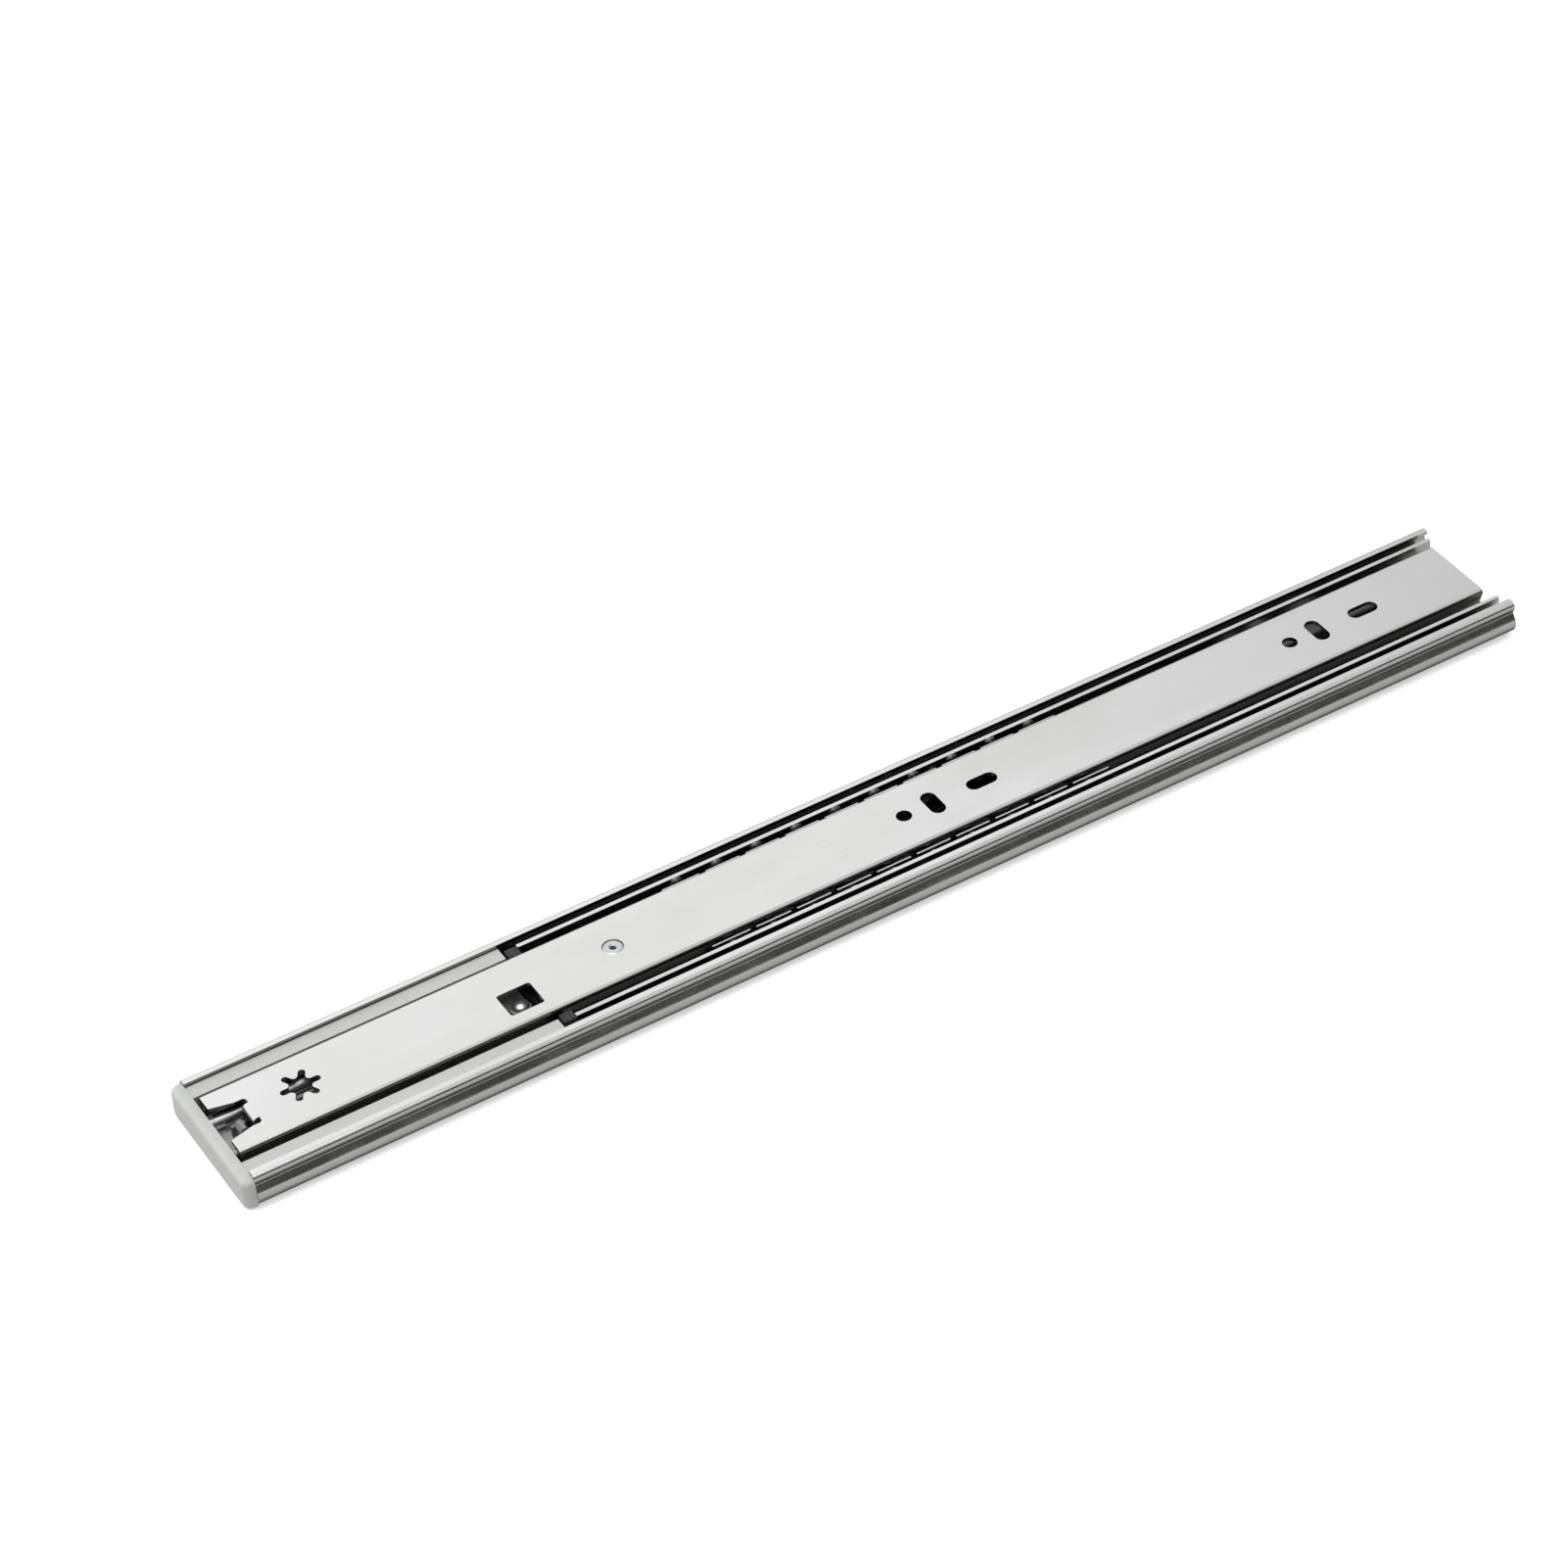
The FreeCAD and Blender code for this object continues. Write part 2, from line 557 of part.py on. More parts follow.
def make_middle_member():
    """The middle member, a channel whose sides hold the outer balls outside and the inner balls inside."""
    body = new_body("middle_member")
    middle = "dims.middle_sheet / 2"
    section = new_sketch(body, "middle_section", "YZ_Plane", MIDDLE_REAR)
    foot_height = f"({MIDDLE_BASE} + {middle} + dims.middle_bend)"
    reach = f"({OUTER_RACE} + {middle} + dims.middle_bend)"
    rise = f"({OUTER_BALL_HEIGHT} - {foot_height})"
    foot = (
        f"({OUTER_BALL_HALF} - 0.03 - sqrt({reach} * {reach} - {rise} * {rise}))",
        foot_height, "dims.middle_bend", 1,
    )
    outer_race = (OUTER_BALL_HALF, OUTER_BALL_HEIGHT, f"({OUTER_RACE} + {middle})", -1)
    inner_race = (INNER_BALL_HALF, INNER_BALL_HEIGHT, f"({INNER_RACE} + {middle})", 1)
    spread = f"({INNER_RACE} + {middle} + dims.middle_bend + 0.03)"
    flare = (
        f"({INNER_BALL_HALF} + {spread} * cos(dims.middle_edge_wrap))",
        f"({INNER_BALL_HEIGHT} + {spread} * sin(dims.middle_edge_wrap))", "dims.middle_bend", -1,
    )
    strip(section, [foot, outer_race, inner_race, flare], "dims.middle_sheet",
          ("wall", "(dims.overall_thickness - dims.middle_edge_drop)"))
    pad(body, "middle_channel", section, MIDDLE_LENGTH)
    windows = new_sketch(body, "access_windows_outline", "XY_Plane", MIDDLE_TOP)
    for place in (f"({SCREW_FRONT} - 12)", f"({SCREW_FRONT} - dims.screw_spacing - 12)"):
        slot(windows, place, "0", "dims.access_length", "dims.access_width")
    pocket(body, "access_windows", windows, "dims.middle_sheet")
    stop = new_sketch(body, "middle_stop_outline", "XY_Plane", MIDDLE_TOP)
    rectangle(stop, MIDDLE_STOP, "-6", f"{MIDDLE_STOP} + 1.5", "6")
    pad(body, "middle_stop", stop, STOP_HEIGHT)
    latch = new_sketch(body, "latch_stop_outline", "XY_Plane", MIDDLE_TOP)
    rectangle(latch, LATCH_STOP, "dims.lever_width / 2 + 1.7", f"{LATCH_STOP} + dims.middle_sheet",
              "dims.lever_width / 2 + dims.lever_tooth")
    pad(body, "latch_stop", latch, "dims.lever_stop_height")
    rivet = new_sketch(body, "bumper_rivet_hole_outline", "XY_Plane", MIDDLE_TOP)
    circle(rivet, BUMPER_RIVET, "0", "dims.rivet_radius")
    pocket(body, "bumper_rivet_hole", rivet, "dims.middle_sheet")
    return body


# ---------------------------------------------------------------------------------------------------
# Drawer member: the narrow channel that is screwed to the drawer side


def star(sketch, across, up):
    """The outline of a star hole with six round-ended arms."""
    lobe = "dims.star_lobe_radius"
    tip = "(dims.star_arm_width / 2)"
    tip_place = f"(dims.star_reach - {tip})"
    lobe_place = f"(2 * ({tip} + {lobe}))"
    bends = []
    for arm in range(6):
        angle = 60 * arm
        bends.append((f"{across} + {tip_place} * cos({angle})", f"{up} + {tip_place} * sin({angle})", tip, 1))
        angle += 30
        bends.append((f"{across} + {lobe_place} * cos({angle})", f"{up} + {lobe_place} * sin({angle})", lobe, -1))
    belt(sketch, bends)


def make_drawer_member():
    """The drawer member, with its screw holes, star hole, window, rear notch and the bent catch tab."""
    body = new_body("drawer_member")
    middle = "dims.drawer_sheet / 2"
    section = new_sketch(body, "drawer_section", "YZ_Plane", DRAWER_REAR)
    bend = f"(dims.drawer_bend + {middle})"
    shoulder = (
        f"({DRAWER_HALF} - {middle} - {bend})",
        f"(dims.overall_thickness - {middle} - {bend})", bend, -1,
    )
    race = (INNER_BALL_HALF, INNER_BALL_HEIGHT, f"({INNER_RACE} + {middle})", 1)
    strip(section, [shoulder, race], "dims.drawer_sheet", ("edge", "(dims.drawer_edge_wrap - 90)"))
    pad(body, "drawer_channel", section, f"{DRAWER_FRONT} - {DRAWER_REAR}")
    holes = new_sketch(body, "drawer_holes_outline", "XY_Plane", "dims.overall_thickness")
    for place in (SCREW_FRONT, f"({SCREW_FRONT} - dims.screw_spacing)"):
        screw_group(holes, place)
    star(holes, f"{DRAWER_REAR} + dims.star_setback", "dims.star_shift")
    window = f"({DRAWER_REAR} + dims.window_setback)"
    rounded_rectangle(
        holes, f"{window} - dims.window_length / 2", "-dims.window_shift - dims.window_width / 2",
        f"{window} + dims.window_length / 2", "-dims.window_shift + dims.window_width / 2", "0.8",
    )
    circle(holes, LEVER_PIVOT, "0", "dims.rivet_radius")
    pocket(body, "drawer_holes", holes, "dims.drawer_sheet")
    sink = new_sketch(body, "eyelet_recess_outline", "XY_Plane", "dims.overall_thickness")
    circle(sink, LEVER_PIVOT, "0", "dims.eyelet_head_radius + 0.1")
    pocket(body, "eyelet_recess", sink, "dims.eyelet_recess")
    notch = new_sketch(body, "notch_outline", "XY_Plane", "dims.overall_thickness")
    polygon(notch, [
        (f"{DRAWER_REAR} - 1", "dims.notch_shift - dims.notch_mouth / 2"),
        (DRAWER_REAR, "dims.notch_shift - dims.notch_mouth / 2"),
        (f"{TAB_BACK} - 1", "dims.notch_shift - dims.notch_width / 2"),
        (f"{TAB_BACK} - 1", "dims.notch_shift + dims.notch_width / 2"),
        (DRAWER_REAR, "dims.notch_shift + dims.notch_mouth / 2"),
        (f"{DRAWER_REAR} - 1", "dims.notch_shift + dims.notch_mouth / 2"),
    ])
    pocket(body, "notch", notch, "dims.drawer_sheet")
    relief = new_sketch(body, "relief_outline", "XY_Plane", "dims.overall_thickness")
    rounded_rectangle(
        relief, f"{TAB_BACK} - 3", "dims.notch_shift - dims.notch_width / 2",
        f"{TAB_BACK} + dims.notch_relief", "dims.notch_shift + dims.notch_width / 2",
        "(dims.notch_width / 4 - dims.tab_width / 4)",
    )
    pocket(body, "relief", relief, "dims.drawer_sheet")
    tab = new_sketch(body, "tab_section", "XZ_Plane", "-dims.notch_shift")
    polygon(tab, [
        (TAB_BACK, TAB_TIP),
        (TAB_FACE, TAB_TIP),
        (TAB_FACE, DRAWER_UNDERSIDE),
        (f"{TAB_BACK} + dims.notch_relief + 0.5", DRAWER_UNDERSIDE),
        (f"{TAB_BACK} + dims.notch_relief + 0.5", "dims.overall_thickness"),
        (TAB_BACK, "dims.overall_thickness"),
    ])
    pad(body, "tab", tab, "dims.tab_width", symmetric=True)
    back = value(TAB_BACK)
    top = value("dims.overall_thickness")

    def is_tab_bend(edge):
        centre = edge.CenterOfMass
        return abs(centre.x - back) < 0.01 and abs(centre.z - top) < 0.01

    fillet(body, "tab_bend", "dims.drawer_sheet + 0.4", is_tab_bend)
    return body


# ---------------------------------------------------------------------------------------------------
# Ball retainers and balls


def make_retainer(label, rear, length, base, ball_half, ball_height, rise, ball_radius, first, pitch, count):
    """A thin channel whose two sides are pierced for the balls."""
    body = new_body(label)
    middle = "dims.retainer_sheet / 2"
    section = new_sketch(body, f"{label}_section", "YZ_Plane", rear)
    bend = (
        f"({ball_half} - dims.retainer_bend)", f"({base} + {middle} + dims.retainer_bend)",
        "dims.retainer_bend", 1,
    )
    strip(section, [bend], "dims.retainer_sheet", ("wall", f"({ball_height} + {rise})"))
    pad(body, f"{label}_channel", section, length)
    holes = new_sketch(body, f"{label}_ball_holes_outline", "XZ_Plane")
    for ball in range(count):
        circle(holes, f"{first} + {ball} * {pitch}", ball_height, f"{ball_radius} + 0.15")
    pocket(body, f"{label}_ball_holes", holes, f"2 * {ball_half} + 4", symmetric=True)
    gaps = new_sketch(body, f"{label}_gaps_outline", "XZ_Plane")
    for gap in range(count - 1):
        place = f"({first} + ({gap} + 0.5) * {pitch})"
        rectangle(
            gaps, f"{place} - dims.retainer_tab_gap / 2", f"{ball_height} - {ball_radius}",
            f"{place} + dims.retainer_tab_gap / 2", f"{ball_height} + {rise} + 1",
        )
    pocket(body, f"{label}_gaps", gaps, f"2 * {ball_half} + 4", symmetric=True)
    windows = new_sketch(body, f"{label}_windows_outline", "XY_Plane", f"{base} + dims.retainer_sheet")
    for share in (1, 3):
        slot(windows, f"{rear} + {share} * {length} / 4", "0", f"({length} * 0.34)", f"{ball_half}")
    pocket(body, f"{label}_windows", windows, "dims.retainer_sheet")
    return body


def make_ball_row(label, side, half, height, radius, first, pitch, count):
    """One row of balls, a group of separate spheres."""
    balls = []
    for ball in range(count):
        sphere = doc.addObject("Part::Sphere", f"{label}_{ball + 1}")
        sphere.setExpression("Radius", radius)
        sphere.setExpression(".Placement.Base.x", f"{first} + {ball} * {pitch}")
        sphere.setExpression(".Placement.Base.y", f"{side} * {half}")
        sphere.setExpression(".Placement.Base.z", height)
        balls.append(sphere)
    group = doc.addObject("Part::Compound", label)
    group.Label = label
    group.Links = balls
    doc.recompute()
    return group


# ---------------------------------------------------------------------------------------------------
# Soft-close housing


def housing_section(sketch):
    """The cross-section of the housing: a floor and two rails that fill the sides of the channel."""
    lip_edge = "(dims.overall_width / 2 - dims.lip_inset - dims.lip_reach - 0.3)"
    wall = "(dims.overall_width / 2 - dims.bead_depth - dims.outer_sheet / 2 - 0.4)"
    shoulder = f"({LIP_TOP} - dims.outer_sheet - 0.4)"
    half = [
        (f"{wall} - 1.6", FLOOR_BASE),
        (wall, f"{FLOOR_BASE} + 1.9"),
        (wall, shoulder),
        (lip_edge, shoulder),
        (lip_edge, "dims.rail_height"),
        (RAIL_INNER, "dims.rail_height"),
        (RAIL_INNER, FLOOR_TOP),
    ]
    mirrored = [(f"-({across})", up) for across, up in reversed(half)]
    polygon(sketch, half + mirrored)


def guides(body, name, start, length):
    """The two low walls that keep the carriage straight."""
    sketch = new_sketch(body, f"{name}_outline", "YZ_Plane", start)
    inner = f"(dims.carriage_width / 2 + dims.running_gap)"
    for sign in (1, -1):
        sides = [f"{sign} * {inner}", f"{sign} * ({inner} + dims.guide_width)"]
        rectangle(sketch, sides[0], f"{FLOOR_TOP} - 0.2", sides[1], f"{FLOOR_TOP} + dims.guide_height")
    pad(body, name, sketch, length)


def make_rear_housing():
    """The rear piece of the housing, with the end cap, carriage guides, damper cradles and spring post."""
    body = new_body("rear_housing")
    section = new_sketch(body, "rear_housing_section", "YZ_Plane", STEEL_REAR)
    housing_section(section)
    pad(body, "rear_rails", section, f"{HOUSING_SPLIT} - {STEEL_REAR} - 0.05")
    cap = new_sketch(body, "cap_outline", "YZ_Plane", REAR)
    half = "(dims.overall_width / 2 - 0.3)"
    low, high = "3.4", "1.9"
    belt(cap, [
        (f"{half} - {low}", f"0.1 + {low}", low, 1),
        (f"{half} - 0.4 - {high}", f"dims.cap_height - {high}", high, 1),
        (f"-({half} - 0.4 - {high})", f"dims.cap_height - {high}", high, 1),
        (f"-({half} - {low})", f"0.1 + {low}", low, 1),
    ])
    pad(body, "cap", cap, "dims.cap_depth")
    rear = value(REAR)
    fillet(body, "cap_edges", "dims.cap_rounding", lambda edge: abs(edge.BoundBox.XMax - rear) < 0.01)
    guides(body, "rear_guides", f"{CARRIAGE_BACK} + 3", f"{HOUSING_SPLIT} - {CARRIAGE_BACK} - 3.05")
    cradle = new_sketch(body, "cradle_outline", "XY_Plane", FLOOR_TOP)
    for place in (f"{DAMPER_REAR} + 4", f"{DAMPER_FRONT} - 8"):
        rectangle(cradle, place, "dims.damper_offset - 1.2", f"{place} + 3", "dims.damper_offset + 1.2")
    pad(body, "damper_cradles", cradle, f"dims.damper_height - dims.damper_radius - {FLOOR_TOP} + 0.2")
    bed = new_sketch(body, "damper_bed_outline", "YZ_Plane", DAMPER_FRONT)
    circle(bed, "dims.damper_offset", "dims.damper_height", "dims.damper_radius + 0.02")
    pocket(body, "damper_bed", bed, "dims.damper_length")
    post = new_sketch(body, "spring_post_outline", "YZ_Plane", f"{STEEL_REAR} - 0.5")
    circle(post, "-dims.damper_offset", "dims.damper_height", SPRING_POST)
    pad(body, "spring_post", post, "5")
    rivets = new_sketch(body, "rear_rivet_holes_outline", "XY_Plane", FLOOR_TOP)
    for sign in (1, -1):
        circle(rivets, HOUSING_RIVET, f"{sign} * {HOUSING_RIVET_HALF}", SMALL_RIVET)
    pocket(body, "rear_rivet_holes", rivets, "dims.housing_floor")
    return body


def make_front_housing():
    """The front piece of the housing, held by a domed rivet through its boss."""
    body = new_body("front_housing")
    section = new_sketch(body, "front_housing_section", "YZ_Plane", HOUSING_SPLIT)
    housing_section(section)
    pad(body, "front_rails", section, f"{HOUSING_FRONT} - {HOUSING_SPLIT}")
    guides(body, "front_guides", HOUSING_SPLIT, f"{DOME_PLACE} - 4 - {HOUSING_SPLIT}")
    boss = new_sketch(body, "boss_outline", "XY_Plane", f"{FLOOR_TOP} - 0.2")
    circle(boss, DOME_PLACE, "dims.dome_shift", "dims.dome_radius + 0.3")
    pad(body, "boss", boss, f"{DOME_BASE} - {FLOOR_TOP} + 0.2")
    hole = new_sketch(body, "dome_rivet_hole_outline", "XY_Plane", DOME_BASE)
    circle(hole, DOME_PLACE, "dims.dome_shift", "dims.rivet_radius")
    pocket(body, "dome_rivet_hole", hole, f"{DOME_BASE} - {FLOOR_BASE}")
    return body


# ---------------------------------------------------------------------------------------------------
# Rivets


def rivet_profile(shank, head, low, high, rise):
    """The half-section of a rivet: a shank from low to high with a domed head above it."""
    return [
        ("0", low),
        (shank, low),
        (shank, high),
        (head, high),
        (head, f"{high} + 0.2 * {rise}"),
        (f"0.84 * {head}", f"{high} + 0.6 * {rise}"),
        (f"0.48 * {head}", f"{high} + 0.9 * {rise}"),
        ("0", f"{high} + {rise}"),
    ]


def make_front_housing_rivet():
    """The domed rivet that holds the front housing to the cabinet member."""
    body = new_body("front_housing_rivet")
    profile = rivet_profile("(dims.rivet_radius - 0.02)", "dims.dome_radius", "0.05", DOME_BASE, "dims.dome_height")
    revolve(body, "dome_rivet", profile, DOME_PLACE, "dims.dome_shift")
    return body


def make_rear_housing_rivets():
    """Two small rivets through the floor of the rear housing, one node."""
    rivets = []
    for side, sign in (("left", 1), ("right", -1)):
        body = new_body(f"rear_housing_rivet_{side}")
        profile = rivet_profile(f"({SMALL_RIVET} - 0.02)", "(dims.rivet_radius * 0.75)", "0.05", FLOOR_TOP, "0.6")
        revolve(body, f"small_rivet_{side}", profile, HOUSING_RIVET, f"{sign} * {HOUSING_RIVET_HALF}")
        rivets.append(body)
    group = doc.addObject("Part::Compound", "rear_housing_rivets")
    group.Label = "rear_housing_rivets"
    group.Links = rivets
    doc.recompute()
    return group


def make_lever_rivet():
    """The hollow rivet that the disconnect lever turns on, its head sunk in the drawer member's face."""
    body = new_body("lever_rivet")
    lever_base = f"({DRAWER_UNDERSIDE} - 0.3 - dims.lever_thickness)"
    head_base = "(dims.overall_thickness - dims.eyelet_recess)"
    shank = "(dims.rivet_radius - 0.02)"
    revolve(body, "eyelet", [
        ("dims.eyelet_bore", f"{lever_base} - 0.8"),
        ("(dims.rivet_radius + 1.1)", f"{lever_base} - 0.8"),
        ("(dims.rivet_radius + 1.1)", f"{lever_base} - 0.15"),
        (shank, f"{lever_base} - 0.15"),
        (shank, head_base),
        ("dims.eyelet_head_radius", head_base),
        ("dims.eyelet_head_radius", "dims.overall_thickness - 0.3"),
        ("(dims.eyelet_head_radius - 0.5)", "dims.overall_thickness - 0.05"),
        ("(dims.eyelet_bore + 0.35)", "dims.overall_thickness - 0.05"),
        ("dims.eyelet_bore", "dims.overall_thickness - 0.4"),
    ], LEVER_PIVOT)
    return body


def make_bumper_rivet():
    """The rivet that holds the bumper's tongue to the middle member."""
    body = new_body("bumper_rivet")
    profile = rivet_profile(
        "(dims.rivet_radius - 0.02)", "(dims.rivet_radius + 0.9)", f"{MIDDLE_BASE} + 0.05",
        f"{MIDDLE_TOP} + 1.3", "0.7",
    )
    revolve(body, "bumper_rivet_turned", profile, BUMPER_RIVET)
    return body


# ---------------------------------------------------------------------------------------------------
# Damper and closing spring


def make_damper_cylinder():
    """The damper's tube, closed at the rear."""
    body = new_body("damper_cylinder")
    outline = new_sketch(body, "tube_outline", "YZ_Plane", DAMPER_REAR)
    circle(outline, "dims.damper_offset", "dims.damper_height", "dims.damper_radius")
    pad(body, "tube", outline, "dims.damper_length")
    bore = new_sketch(body, "bore_outline", "YZ_Plane", DAMPER_FRONT)
    circle(bore, "dims.damper_offset", "dims.damper_height", "dims.damper_radius - dims.damper_wall")
    pocket(body, "bore", bore, "dims.damper_length - 1")
    return body


def make_damper_end_cap():
    """The gland that closes the front of the damper and guides its rod."""
    body = new_body("damper_end_cap")
    plug = new_sketch(body, "plug_outline", "YZ_Plane", f"{DAMPER_FRONT} - 2")
    circle(plug, "dims.damper_offset", "dims.damper_height", "dims.damper_radius - dims.damper_wall - 0.01")
    circle(plug, "dims.damper_offset", "dims.damper_height", "dims.damper_rod_radius + 0.05")
    pad(body, "plug", plug, "2")
    flange = new_sketch(body, "flange_outline", "YZ_Plane", DAMPER_FRONT)
    circle(flange, "dims.damper_offset", "dims.damper_height", "dims.damper_radius")
    circle(flange, "dims.damper_offset", "dims.damper_height", "dims.damper_rod_radius + 0.05")
    pad(body, "flange", flange, "1")
    return body


PISTON_REAR = f"({DAMPER_REAR} + 1.4)"
PISTON_LENGTH = "2.5"


def make_damper_piston():
    """The piston, which the rod pulls along the damper's bore."""
    body = new_body("damper_piston")
    disc = new_sketch(body, "piston_outline", "YZ_Plane", PISTON_REAR)
    circle(disc, "dims.damper_offset", "dims.damper_height", "dims.damper_radius - dims.damper_wall - 0.05")
    pad(body, "piston", disc, PISTON_LENGTH)
    return body


def make_damper_rod():
    """The damper's rod, from the piston to its head in front of the carriage's bar."""
    body = new_body("damper_rod")
    start = f"({PISTON_REAR} + {PISTON_LENGTH})"
    shaft = new_sketch(body, "shaft_outline", "YZ_Plane", start)
    circle(shaft, "dims.damper_offset", "dims.damper_height", "dims.damper_rod_radius")
    pad(body, "shaft", shaft, f"{CARRIAGE_FRONT} - {start}")
    head = new_sketch(body, "rod_head_outline", "YZ_Plane", CARRIAGE_FRONT)
    circle(head, "dims.damper_offset", "dims.damper_height", "dims.damper_rod_radius + 0.5")
    pad(body, "rod_head", head, "0.8")
    return body


def make_closing_spring():
    """The spring that pulls the carriage to the rear, its ends seated on the two posts."""
    start = f"({STEEL_REAR} + 0.4)"
    length = f"({CARRIAGE_FRONT} - dims.carriage_bar - 0.4 - {start})"
    coil = doc.addObject("Part::Helix", "spring_line")
    coil.setExpression("Radius", "dims.spring_radius")
    coil.setExpression("Height", length)
    coil.setExpression("Pitch", f"{length} / dims.spring_turns")
    wire = doc.addObject("Part::Circle", "spring_wire_section")
    wire.setExpression("Radius", "dims.spring_wire / 2")
    wire.setExpression(".Placement.Base.x", "dims.spring_radius")
    wire.Placement.Rotation = FreeCAD.Rotation(FreeCAD.Vector(1, 0, 0), 90)
    doc.recompute()
    spring = doc.addObject("Part::Sweep", "closing_spring")
    spring.Label = "closing_spring"
    spring.Sections = [wire]
    spring.Spine = (coil, [f"Edge{i}" for i in range(1, len(coil.Shape.Edges) + 1)])
    spring.Solid = True
    spring.Frenet = True
    spring.Placement.Rotation = FreeCAD.Rotation(FreeCAD.Vector(0, 1, 0), 90)
    spring.setExpression(".Placement.Base.x", start)
    spring.setExpression(".Placement.Base.y", "-dims.damper_offset")
    spring.setExpression(".Placement.Base.z", "dims.damper_height")
    doc.recompute()
    return spring


# ---------------------------------------------------------------------------------------------------
# Catch carriage, its catch and the pin between them


def make_catch_carriage():
    """The carriage that the tab pulls forward, with a trough for the catch and a bar for rod and spring."""
    body = new_body("catch_carriage")
    half = "(dims.carriage_width / 2)"
    block = new_sketch(body, "block_outline", "XY_Plane", CARRIAGE_BASE)
    rectangle(block, CARRIAGE_BACK, f"-{half}", CARRIAGE_FRONT, half)
    pad(body, "block", block, f"{CARRIAGE_TOP} - {CARRIAGE_BASE}")
    trough = new_sketch(body, "trough_outline", "XY_Plane", CARRIAGE_TOP)
    rectangle(trough, f"{CARRIAGE_BACK} - 1", "-dims.catch_width / 2 - 0.25", f"{CATCH_PIVOT} + 3",
              "dims.catch_width / 2 + 0.25")
    pocket(body, "trough", trough, f"{CARRIAGE_TOP} - {TROUGH_FLOOR}")
    bar = new_sketch(body, "bar_outline", "YZ_Plane", f"{CARRIAGE_FRONT} - dims.carriage_bar")
    arm = "(dims.damper_offset + dims.damper_radius + 0.1)"
    inner = "(dims.damper_offset - dims.damper_radius)"
    high = "(dims.damper_height + dims.damper_radius)"
    polygon(bar, [
        (f"-{arm}", CARRIAGE_BAR_BASE), (arm, CARRIAGE_BAR_BASE), (arm, high), (inner, high),
        (inner, CARRIAGE_TOP), (f"-{inner}", CARRIAGE_TOP), (f"-{inner}", high), (f"-{arm}", high),
    ])
    pad(body, "bar", bar, "dims.carriage_bar")
    rod_hole = new_sketch(body, "rod_hole_outline", "YZ_Plane", CARRIAGE_FRONT)
    circle(rod_hole, "dims.damper_offset", "dims.damper_height", "dims.damper_rod_radius + 0.02")
    pocket(body, "rod_hole", rod_hole, "dims.carriage_bar")
    post = new_sketch(body, "front_post_outline", "YZ_Plane", f"{CARRIAGE_FRONT} - dims.carriage_bar - 4")
    circle(post, "-dims.damper_offset", "dims.damper_height", SPRING_POST)
    pad(body, "front_post", post, "4.5")
    ribs = new_sketch(body, "rib_grooves_outline", "XY_Plane", CARRIAGE_TOP)
    for lane in (-1, 0, 1):
        rectangle(ribs, f"{CATCH_PIVOT} + 4.5", f"{lane} * 2.0 - 0.45", f"{CARRIAGE_FRONT} - 4.5",
                  f"{lane} * 2.0 + 0.45")
    pocket(body, "rib_grooves", ribs, "0.7")
    pin_hole = new_sketch(body, "pin_hole_outline", "XZ_Plane")
    circle(pin_hole, CATCH_PIVOT, CATCH_PIVOT_HEIGHT, "dims.catch_pin_radius + 0.01")
    pocket(body, "pin_hole", pin_hole, "dims.carriage_width + 1", symmetric=True)
    return body


def make_tilting_catch():
    """The catch, whose two horns stand behind and in front of the tab."""
    body = new_body("tilting_catch")
    side = new_sketch(body, "catch_side", "XZ_Plane")
    base = f"({TROUGH_FLOOR} + 0.3)"
    saddle = f"({base} + 1.0)"
    rear_horn = f"({TAB_BACK} - dims.rear_horn_gap)"
    front_horn = f"({TAB_FACE} + dims.front_horn_gap)"
    rear_top = f"({TAB_TIP} + dims.rear_horn_rise)"
    nose = f"({CATCH_PIVOT} + 1.5)"
    polygon(side, [
        (f"{rear_horn} - dims.horn_thickness", base),
        (nose, base),
        (nose, f"{CATCH_PIVOT_HEIGHT} + 1.3"),
        (f"{CATCH_PIVOT} - 2.5", f"{CATCH_PIVOT_HEIGHT} + 1.3"),
        (f"{front_horn} + dims.horn_thickness + 1.5", saddle),
        (f"{front_horn} + dims.horn_thickness", CARRIAGE_TOP),
        (front_horn, CARRIAGE_TOP),
        (front_horn, saddle),
        (rear_horn, saddle),
        (rear_horn, rear_top),
        (f"{rear_horn} - 0.6 * dims.horn_thickness", rear_top),
        (f"{rear_horn} - dims.horn_thickness", f"{rear_top} - 1"),
    ])
    pad(body, "catch", side, "dims.catch_width", symmetric=True)
    bore = new_sketch(body, "catch_bore_outline", "XZ_Plane")
    circle(bore, CATCH_PIVOT, CATCH_PIVOT_HEIGHT, "dims.catch_pin_radius + 0.05")
    pocket(body, "catch_bore", bore, "dims.catch_width + 1", symmetric=True)
    return body


def make_catch_pin():
    """The pin that the catch tilts on."""
    pin = doc.addObject("Part::Cylinder", "catch_pin")
    pin.Label = "catch_pin"
    pin.setExpression("Radius", "dims.catch_pin_radius")
    pin.setExpression("Height", "dims.carriage_width - 0.1")
    pin.Placement.Rotation = FreeCAD.Rotation(FreeCAD.Vector(1, 0, 0), 90)
    pin.setExpression(".Placement.Base.x", CATCH_PIVOT)
    pin.setExpression(".Placement.Base.y", "dims.carriage_width / 2 - 0.05")
    pin.setExpression(".Placement.Base.z", CATCH_PIVOT_HEIGHT)
    doc.recompute()
    return pin


# ---------------------------------------------------------------------------------------------------
# Bumper of the middle member and disconnect lever of the drawer member


